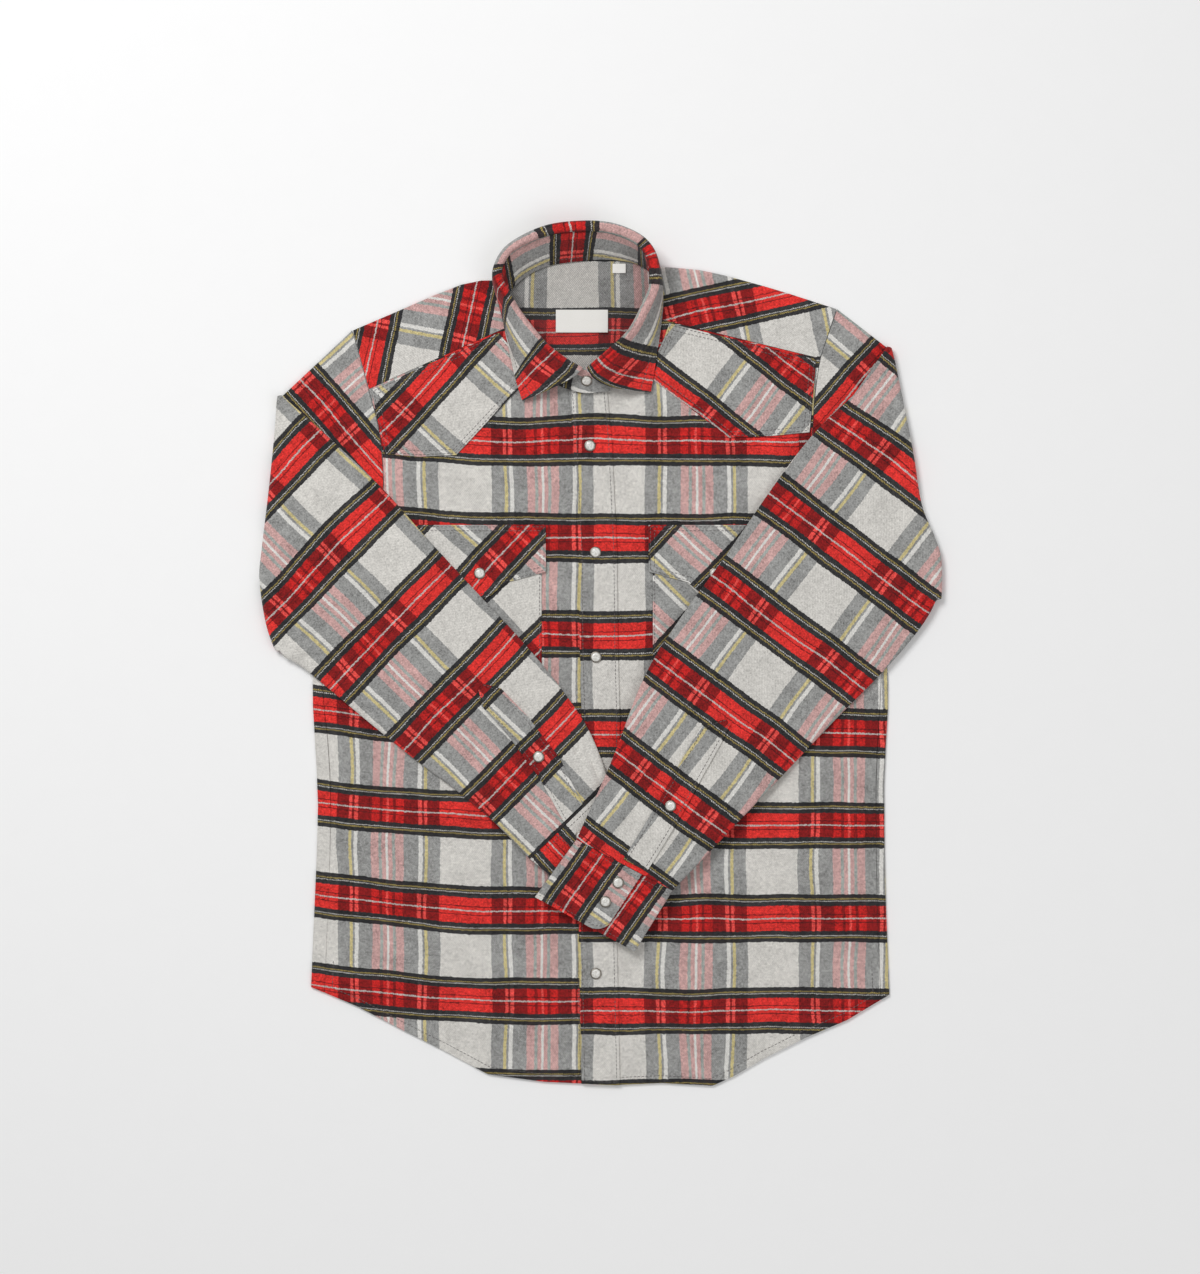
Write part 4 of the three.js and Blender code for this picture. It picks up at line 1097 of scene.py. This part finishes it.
class SHIRT_OT_sleeves(Operator):
    """Make the two sleeves, folded at the elbow and laid over the front"""

    bl_idname = "shirt.sleeves"
    bl_label = "Sleeves"

    def execute(self, context):
        first = SLEEVE_RINGS["upper"] + SLEEVE_RINGS["fold"]
        for side, upper_above, under in (
            ("left", 2, ["front_left", "front_right"]),
            ("right", 50, ["front_right", "sleeve_left"]),
        ):
            outer, inner, half = sleeve_walls(side)
            top = np.zeros(outer.shape[:2])
            top[first:, 1:half - 1] = 1.0
            rise = sleeve_relief(side, outer[..., 0], outer[..., 1]) * top
            column = np.arange(outer.shape[1])
            rise *= smoothstep(0, 6, np.minimum(column, np.abs(half - 1 - column)))
            rise[-1] *= 0.0
            rise[-2] *= 0.5
            outer[..., 2] += rise
            inner[..., 2] += rise
            mesh = grid_mesh(f"sleeve_{side}", outer, inner, True)

            def choose(c, n, side=side, upper_above=upper_above):
                away = -c[:, 0] if side == "left" else c[:, 0]
                outside = (c[:, 2] < UPPER_ARM["below"]) & (away > UPPER_ARM["outside"])
                return (outside & (c[:, 1] > upper_above)).astype(int)

            forearm = lay("forearm_left") if side == "left" else gathered_lay("forearm_right", **CUFF_GATHER)
            reach_down(mesh, [forearm, lay(f"upper_{side}")], choose)
            cloth_piece(f"sleeve_{side}", mesh)
        return {"FINISHED"}


class SHIRT_OT_sleeve_plackets(Operator):
    """Make the pointed strips at the sleeve openings"""

    bl_idname = "shirt.sleeve_plackets"
    bl_label = "Sleeve plackets"

    def execute(self, context):
        count = STRIP_GRID
        feel = (-count["feel"], 0, count["feel"])
        around = [(dx, dy) for dx in feel for dy in feel]
        for side in SIDES:
            node = f"sleeve_placket_{side}"
            tree = tree_of(f"sleeve_{side}")
            at, start, end = np.array(SLEEVE_PLACKETS[side], float).T
            low = []
            tip = np.linspace(at[0], at[1], count["tip"])
            for s in [*tip, *np.linspace(at[1], at[-1], count["length"])[1:]]:
                row = plain_forearm_at(side, s)
                span = np.interp(s, at, start), np.interp(s, at, end)
                line = []
                for u in np.linspace(0, 1, count["across"]):
                    across = mix(*span, u)
                    x, y = mix(row[0:2], row[2:4], across)
                    hits = [drop_on(tree, x + dx, y + dy)[0] for dx, dy in around]
                    plain = mix(row[4], row[5], across) + row[6]
                    line.append((x, y, max([plain] + [hit.z / MM for hit in hits if hit])))
                low.append(line)
            low = np.array(low)
            for _ in range(2):
                low[1:-1, :, 2] = np.maximum(low[1:-1, :, 2], (low[:-2, :, 2] + low[2:, :, 2]) / 2)
            low[..., 2] += GAP * 0.5
            high = low + np.array([0, 0, STRIP])
            high[:, [0, -1], 2] -= TURNED_EDGE
            high[[0, -1], :, 2] -= TURNED_EDGE
            mesh = grid_mesh(node, high, low)
            reach_down(mesh, [lay(node)])
            cloth_piece(node, mesh)
        return {"FINISHED"}


def cuff_path(width):
    """Places along the cuff's band seen from its end: across, up, the way out, and the trim."""
    layer = BAND + GAP
    under = BAND / 2 + layer
    lap = under + layer
    far_turn, near_turn = layer / 2, layer
    far = width - far_turn - BAND / 2
    near = near_turn + BAND / 2
    corner = CUFF_SHAPE["corner"]
    end = CUFF_SHAPE["lap"] * width - corner
    count = CUFF_GRID
    start = CUFF_SHAPE["under"] * width
    path = [(c, under, 0, 1, 0) for c in np.linspace(start, far, count["lap"])[:-1]]
    for a in np.linspace(0, math.pi, count["turn"]):
        s, c = math.sin(a), math.cos(a)
        path.append((far + far_turn * s, BAND / 2 + far_turn * (1 + c), s, c, 0))
    path += [(c, BAND / 2, 0, -1, 0) for c in np.linspace(far, near, count["under"])[1:-1]]
    for a in np.linspace(0, math.pi, count["turn"]):
        s, c = math.sin(a), math.cos(a)
        path.append((near - near_turn * s, BAND / 2 + near_turn * (1 - c), -s, -c, 0))
    path += [(c, lap, 0, 1, 0) for c in np.linspace(near, end, count["lap"])[1:]]
    for a in np.linspace(0, math.pi / 2, count["turn"])[1:]:
        short = math.sin(a)
        path.append((end + corner * short, lap, 0, 1, corner * (1 - math.sqrt(max(0, 1 - short ** 2)))))
    return path


class SHIRT_OT_cuffs(Operator):
    """Make the cuffs, each a band lapped over itself"""

    bl_idname = "shirt.cuffs"
    bl_label = "Cuffs"

    def execute(self, context):
        lap_level = 2 * (BAND + GAP) - 0.2
        for side, under in (("left", "front_placket"), ("right", "sleeve_left")):
            px, py, qx, qy, pz, qz, _ = FOREARMS[side][-1]
            p, q = np.array([px, py, pz], float), np.array([qx, qy, qz], float)
            pe, qe = (np.array(CUFFS[side][k], float) for k in ("pe", "qe"))
            width = np.linalg.norm(q[:2] - p[:2])
            length = np.linalg.norm(pe[:2] - p[:2])
            grids = []
            for distance in (BAND / 2, -BAND / 2):
                grid = []
                for c, z, oc, oz, trim in cuff_path(width):
                    t = (c + oc * distance) / width
                    line = []
                    for step in np.linspace(0, 1, CUFF_GRID["down"]):
                        v = mix(CUFF_SHAPE["seam"] / length, 1 - trim / length, step)
                        point = mix(mix(p, q, t), mix(pe, qe, t), v)
                        turned = CUFF_SHAPE["turned"] * (smoothstep(0.9, 1, step) + smoothstep(0.1, 0, step))
                        point[2] += z + oz * distance - turned * np.sign(distance) * oz
                        line.append(point)
                    grid.append(line)
                grids.append(np.array(grid))
            mesh = grid_mesh(f"cuff_{side}", *grids)
            w = unit(q[:2] - p[:2])

            def choose(c, n, p=p, q=q, pe=pe, qe=qe, width=width, w=w):
                t = np.clip(((c[:, :2] - p[:2]) @ w) / width, 0, 1)
                down = np.linalg.norm(c[:, :2] - mix(p[:2], q[:2], t[:, None]), axis=1)
                v = np.clip(down / CUFF_SHAPE["long"], 0, 1)
                floor = mix(mix(p[2], q[2], t), mix(pe[2], qe[2], t), v)
                return (c[:, 2] - floor < lap_level).astype(int)

            reach_down(mesh, [lay(f"cuff_lap_{side}"), lay(f"cuff_{side}")], choose)
            cloth_piece(f"cuff_{side}", mesh)
        return {"FINISHED"}


# Collar
def arc_of(points):
    """How far along each point of a row lies."""
    steps = np.linalg.norm(np.diff(points, axis=0), axis=1)
    return np.concatenate([[0], np.cumsum(steps)])


def leaf_curve(row, ahead, behind, k):
    """The leaf's middle line at a section k: over the roll and down to its free edge."""
    fold, edge = row[:3], row[3:]
    dx, dy = unit(ahead[:2] - behind[:2])
    lean = COLLAR["lean"]
    outward = np.array([*unit([edge[0] - fold[0] - lean * dy, edge[1] - fold[1] + lean * dx]), 0])
    roll = [fold + outward * out + [0, 0, up] for out, up in LEAF_ROLL]
    fall = mix(roll[-1], edge, 0.5) + outward * LEAF_FALL[0] + [0, 0, LEAF_FALL[1]]
    curve = samples([fold, *roll, fall, edge], COLLAR_GRID["leaf_down"])
    bow = (LEAF_BOW["left"] * max(0.0, 1 - k / LEAF_BOW["fade"])
           + LEAF_BOW["right"] * max(0.0, 1 - (len(LEAF) - 1 - k) / LEAF_BOW["fade"]))
    ex, ey = unit(edge[:2] - fold[:2])
    reach = np.linalg.norm(edge[:2] - fold[:2])
    u = np.clip(np.linalg.norm(curve[:, :2] - fold[:2], axis=1) / reach, 0, 1)
    side = bow * np.sin(math.pi * u ** LEAF_BOW["skew"])
    return curve + side[:, None] * np.array([ey, -ex, 0])


class SHIRT_OT_collar(Operator):
    """Make the collar stand and the leaf that rolls over it"""

    bl_idname = "shirt.collar"
    bl_label = "Collar"

    def execute(self, context):
        rows = samples(STAND, COLLAR_GRID["stand"])
        up = np.linspace(0, 1, COLLAR_GRID["stand_up"])
        middle = np.array([[mix(r[:3], r[3:], v) for v in up] for r in rows])
        mesh = grid_mesh("collar_stand", *thick_grids(middle, COLLAR["stand"]))
        tops = rows[:, 3:]
        arc = arc_of(tops)
        front = arc[np.argmin(np.abs(tops[:40, :2] - COLLAR["band_on_stand"]).sum(1))]
        depth = np.linalg.norm(middle - middle[:, -1:], axis=2)
        along = np.repeat((arc - front)[:, None], middle.shape[1], 1) * COLLAR["stand_pull"]
        grid_cloth(mesh, COLLAR["stand_cream_off"] - depth, along)
        cloth_piece("collar_stand", mesh)

        rows = samples(LEAF, COLLAR_GRID["leaf"])
        section = np.linspace(0, len(LEAF) - 1, len(rows))
        ahead, behind = [*rows[1:], rows[-1]], [rows[0], *rows[:-1]]
        middle = np.array([leaf_curve(*given) for given in zip(rows, ahead, behind, section)])
        mesh = grid_mesh("collar_leaf", *thick_grids(middle, COLLAR["leaf"]))
        down = np.array([arc_of(line) for line in middle])
        start = COLLAR["cream_off"] + 8 * np.linspace(0, 1, len(rows))[:, None]
        at, *ends = np.array(LEAF_BANDS, float).T
        at_fold, at_edge = (np.interp(section, at, end)[:, None] for end in ends)
        grid_cloth(mesh, start - down, mix(at_fold, at_edge, down / down[:, -1:]))
        cloth_piece("collar_leaf", mesh)
        return {"FINISHED"}


# Stitching
def outline_loops(node, level=0.6):
    """The outlines of a flat solid's upper face, as closed rows of points in millimetres."""
    bm = solid_of(node)
    step = {}
    for edge in bm.edges:
        if len(edge.link_faces) != 2:
            continue
        for loop in edge.link_loops:
            other = [f for f in edge.link_faces if f is not loop.face][0]
            if loop.face.normal.z > level and other.normal.z < level / 2:
                a, b = (tuple(round(c / MM, 3) for c in v.co) for v in (loop.vert, loop.link_loop_next.vert))
                step[a] = b
    bm.free()
    loops = []
    while step:
        start, at = step.popitem()
        row = [start]
        while at in step:
            row.append(at)
            at = step.pop(at)
        row.append(at)
        loops.append(np.array(row))
    return loops


def inset(row, distance):
    """A closed row of points moved in by a distance, to the left of its way round."""
    points = row[:-1, :2]
    ahead = unit(np.roll(points, -1, 0) - points + 1e-9)
    normals = np.stack([-ahead[:, 1], ahead[:, 0]], 1)
    middle = unit(normals + np.roll(normals, 1, 0) + 1e-9)
    reach = distance / np.clip((middle * normals).sum(1), 0.45, 1)
    moved = points + middle * reach[:, None]
    return np.concatenate([moved, moved[:1]])


def along_path(points, pitch):
    """Places at an even pitch along a row of points, each with its direction."""
    arc = arc_of(points)
    count = max(int(arc[-1] / pitch), 1)
    at = (np.arange(count) + 0.5) * arc[-1] / count
    place, ahead, behind = (
        np.stack([np.interp(at + shift, arc, points[:, k]) for k in range(points.shape[1])], 1)
        for shift in (0, 0.4, -0.4)
    )
    return zip(place, unit(ahead - behind + 1e-9))


class Seam:
    """Gathers single stitches into one mesh."""

    def __init__(self, trim):
        self.length = trim.stitch
        self.pitch = trim.stitch + trim.stitch_gap
        self.thread = trim.thread
        self.points, self.faces = [], []

    def stitch(self, place, way, normal):
        """One stitch, a six-sided capsule that lies on a surface along a direction."""
        way = unit(way - normal * way.dot(normal))
        side = np.cross(normal, way)
        start = len(self.points)
        sides = STITCH["sides"]
        for reach, size in STITCH_RINGS:
            for angle in np.arange(sides) * math.tau / sides:
                rise = STITCH["middle"] + STITCH["high"] * size * math.sin(angle)
                aside = STITCH["wide"] * size * math.cos(angle)
                self.points.append(place + way * reach * self.length + side * aside + normal * rise)
        for ring in range(len(STITCH_RINGS) - 1):
            for a in range(sides):
                i, j = start + ring * sides + a, start + ring * sides + (a + 1) % sides
                self.faces.append((i, j, j + sides, i + sides))
        self.faces.append(tuple(start + a for a in range(sides))[::-1])
        self.faces.append(tuple(len(self.points) - sides + a for a in range(sides)))

    def on(self, tree, points, keep=None):
        """Sews along a path seen from above, on whatever lies there."""
        for place, way in along_path(points[:, :2], self.pitch):
            if keep and not keep(*place):
                continue
            hit, normal = drop_on(tree, *place)
            if hit is not None and normal.z >= 0.5:
                self.stitch(np.array(hit) / MM, np.array([*way, 0.0]), np.array(normal))

    def along(self, points, normals):
        """Sews along a path that lies on a surface whose normals are known."""
        for place, way in along_path(points, self.pitch):
            near = np.argmin(np.linalg.norm(points - place, axis=1))
            self.stitch(place, way, normals[near])

    def piece(self, name):
        mesh = closed_mesh(name, self.points, self.faces)
        finish_piece(name, mesh, [thread("sewing_thread", self.thread)], None)


class SHIRT_OT_stitching(Operator):
    """Sew the stitched edges of the placket, yokes, pockets, flaps, hem, cuffs and collar"""

    bl_idname = "shirt.stitching"
    bl_label = "Stitching"

    def execute(self, context):
        trim = plain_values(context.scene.shirt_trim)
        for name, rows in EDGE_SEAMS.items():
            seam = Seam(trim)
            for node, distances in rows:
                tree = tree_of(node)
                for row in outline_loops(node):
                    for distance in distances:
                        seam.on(tree, inset(row, distance))
            seam.piece(name)
        seam = Seam(trim)
        for side in SIDES:
            tree = tree_of(f"front_{side}")
            for row in outline_loops(f"front_{side}"):
                seam.on(tree, inset(row, HEM_SEAM["in"]), lambda x, y: y < HEM_SEAM["below"])
        seam.piece("hem_stitching")
        for name, rows in WALL_SEAMS.items():
            seam = Seam(trim)
            for node, line in rows:
                seam.along(GRIDS[node][line], facing(GRIDS[node])[line])
            seam.piece(name)
        return {"FINISHED"}


# Labels
class SHIRT_OT_labels(Operator):
    """Make the blank neck label and size label"""

    bl_idname = "shirt.labels"
    bl_label = "Labels"

    def execute(self, context):
        for node in ("neck_label", "size_label"):
            mesh = cut_copy(node, 2, 0.25)
            low, high = (np.array(c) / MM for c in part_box(node))

            def curl(x, y, low=low, high=high):
                u = (x - low[0]) / (high[0] - low[0])
                v = (y - low[1]) / (high[1] - low[1])
                wave = 0.6 + 0.4 * np.cos(u * 7)
                return 0.8 * (1 - smoothstep(0, 0.5, v)) * wave + 0.2 * np.sin(u * 9) ** 2

            raise_mesh(mesh, curl)
            reach_down(mesh, [lambda p: p[:, :2].copy()])
            finish_piece(f"{node}_tape", mesh, [label_tape("label_tape")], node)
        return {"FINISHED"}


# Snaps
def snap_mesh(cap, rim):
    """A domed pearl cap held in a turned metal rim, and which faces are pearl."""
    # Radius, height, and 1 where the wall below the point is pearl
    profile = [
        (rim - 0.25, 0.0, 0), (rim, 0.35, 0), (rim, 0.95, 0), (rim - 0.3, 1.34, 0), (rim - 0.7, 1.4, 0),
        (cap + 0.08, 0.9, 0), (cap - 0.02, 0.9, 1), (cap * 0.95, 1.42, 1), (cap * 0.82, 1.8, 1),
        (cap * 0.6, 2.06, 1), (cap * 0.32, 2.18, 1),
    ]
    turns = SNAP_TURNS
    angles = np.arange(turns) * math.tau / turns
    points = [(0, 0, 0)]
    for r, z, _ in profile:
        points += [(r * math.cos(a), r * math.sin(a), z) for a in angles]
    points.append((0, 0, SNAP_TOP))
    faces, kinds = [], []
    for j in range(turns):
        k = (j + 1) % turns
        faces.append((0, 1 + k, 1 + j))
        kinds.append(0)
        for i in range(1, len(profile)):
            a, b = 1 + (i - 1) * turns, 1 + i * turns
            faces.append((a + j, a + k, b + k, b + j))
            kinds.append(profile[i][2])
        faces.append((b + j, b + k, len(points) - 1))
        kinds.append(1)
    mesh = bpy.data.meshes.new("snap")
    mesh.from_pydata((np.array(points) * MM).tolist(), [], faces)
    return mesh, np.array(kinds, np.int32)


def snap_seat(node, carrier):
    """Where a snap's foot lies and which way it faces."""
    low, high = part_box(node)
    middle = (low + high) / 2
    if carrier is None:
        base, top = (Vector(STAND[1][k:k + 3]) for k in (0, 3))
        normal = Vector((1, 0, 0)).cross(top - base).normalized()
        return middle - normal * SNAP_TOP / 2 * MM, normal
    tree = tree_of(carrier)
    x, y = middle.x / MM, middle.y / MM
    normal = drop_on(tree, x, y)[1]
    hits = [drop_on(tree, x + dx, y + dy)[0] for dx, dy in SNAP_FEEL]
    height = max(hit.z for hit in hits if hit) + SNAP_CLEAR * MM
    if not carrier.startswith(("sleeve", "cuff")):
        normal = Vector((0, 0, 1))
    return Vector((middle.x, middle.y, max(height, low.z))), normal


class SHIRT_OT_snaps(Operator):
    """Set the pearl snaps in the placket, flaps, sleeves, cuffs and collar"""

    bl_idname = "shirt.snaps"
    bl_label = "Snaps"

    def execute(self, context):
        trim = plain_values(context.scene.shirt_trim)
        for node, carrier in SNAPS.items():
            place, normal = snap_seat(node, carrier)
            mesh, kinds = snap_mesh(trim.cap_radius, trim.rim_radius)
            turn = normal.to_track_quat("Z", "Y").to_matrix().to_4x4()
            mesh.transform(Matrix.Translation(place) @ turn)
            materials = [rim_metal("rim_metal"), pearl("pearl_cap", trim.pearl)]
            piece = finish_piece(f"{node}_set", mesh, materials, node)
            piece.data.polygons.foreach_set("material_index", kinds)
        return {"FINISHED"}


# Stage
class SHIRT_OT_stage(Operator):
    """Set the floor, the soft lights and the camera straight above"""

    bl_idname = "shirt.stage"
    bl_label = "Stage"

    def execute(self, context):
        scene = context.scene
        stage = scene.shirt_stage
        mesh = bpy.data.meshes.new("floor")
        corners = [(-1, -1), (1, -1), (1, 1), (-1, 1)]
        mesh.from_pydata([(x * FLOOR["half"], y * FLOOR["half"], FLOOR["level"]) for x, y in corners], [],
                         [(0, 1, 2, 3)])
        floor = link("floor", mesh)
        material, w, shader = new_material("pale_floor")
        grain = w.noise(w.own_place(), 40.0, 3.0, 0.5)["Fac"]
        pale = tuple(stage.floor)
        w.feed(shader, {"Base Color": w.mix(grain, tuple(c * 0.985 for c in pale), pale), "Roughness": 0.9})
        mesh.materials.append(material)
        for name, (place, size, power) in LIGHTS.items():
            lamp = bpy.data.lights.new(name, "AREA")
            lamp.energy = getattr(stage, power)
            lamp.size = size
            light = link(name, lamp)
            light.location = place
            light.rotation_euler = Vector(place).to_track_quat("Z", "Y").to_euler()
        scene.world = bpy.data.worlds.new("studio")
        scene.world.use_nodes = True
        background = scene.world.node_tree.nodes["Background"]
        background.inputs[0].default_value = (1, 1, 1, 1)
        background.inputs[1].default_value = stage.world
        scene.view_settings.view_transform = "Standard"
        lens = bpy.data.cameras.new("camera")
        lens.lens = stage.lens
        lens.sensor_fit = "VERTICAL"
        lens.sensor_height = SENSOR
        scene.camera = link("camera", lens)
        scene.camera.location = (0, stage.centre_y, stage.lens / SENSOR * stage.frame_height)
        return {"FINISHED"}


PIECE_OPERATORS = [
    SHIRT_OT_back, SHIRT_OT_fronts, SHIRT_OT_yokes, SHIRT_OT_pockets, SHIRT_OT_sleeves,
    SHIRT_OT_sleeve_plackets, SHIRT_OT_cuffs, SHIRT_OT_collar, SHIRT_OT_stitching, SHIRT_OT_labels,
    SHIRT_OT_snaps, SHIRT_OT_stage,
]
VALUE_GROUPS = {
    "shirt_cloth": ShirtClothProperties,
    "shirt_trim": ShirtTrimProperties,
    "shirt_stage": ShirtStageProperties,
}


class SHIRT_PT_panel(Panel):
    """Lists the shirt's pieces and their values"""

    bl_idname = "SHIRT_PT_panel"
    bl_label = "Western snap shirt"
    bl_space_type = "VIEW_3D"
    bl_region_type = "UI"
    bl_category = "Shirt"

    def draw(self, context):
        for operator in PIECE_OPERATORS:
            self.layout.operator(operator.bl_idname)
        for key in VALUE_GROUPS:
            values = getattr(context.scene, key)
            box = self.layout.box()
            for name in values.__annotations__:
                box.prop(values, name)


CLASSES = [*VALUE_GROUPS.values(), *PIECE_OPERATORS, SHIRT_PT_panel]


def register():
    for cls in CLASSES:
        bpy.utils.register_class(cls)
    for key, values in VALUE_GROUPS.items():
        setattr(bpy.types.Scene, key, PointerProperty(type=values))


def unregister():
    for key in VALUE_GROUPS:
        delattr(bpy.types.Scene, key)
    for cls in reversed(CLASSES):
        bpy.utils.unregister_class(cls)


def main():
    register()
    for operator in PIECE_OPERATORS:
        area, name = operator.bl_idname.split(".")
        getattr(getattr(bpy.ops, area), name)()


if __name__ == "__main__":
    main()
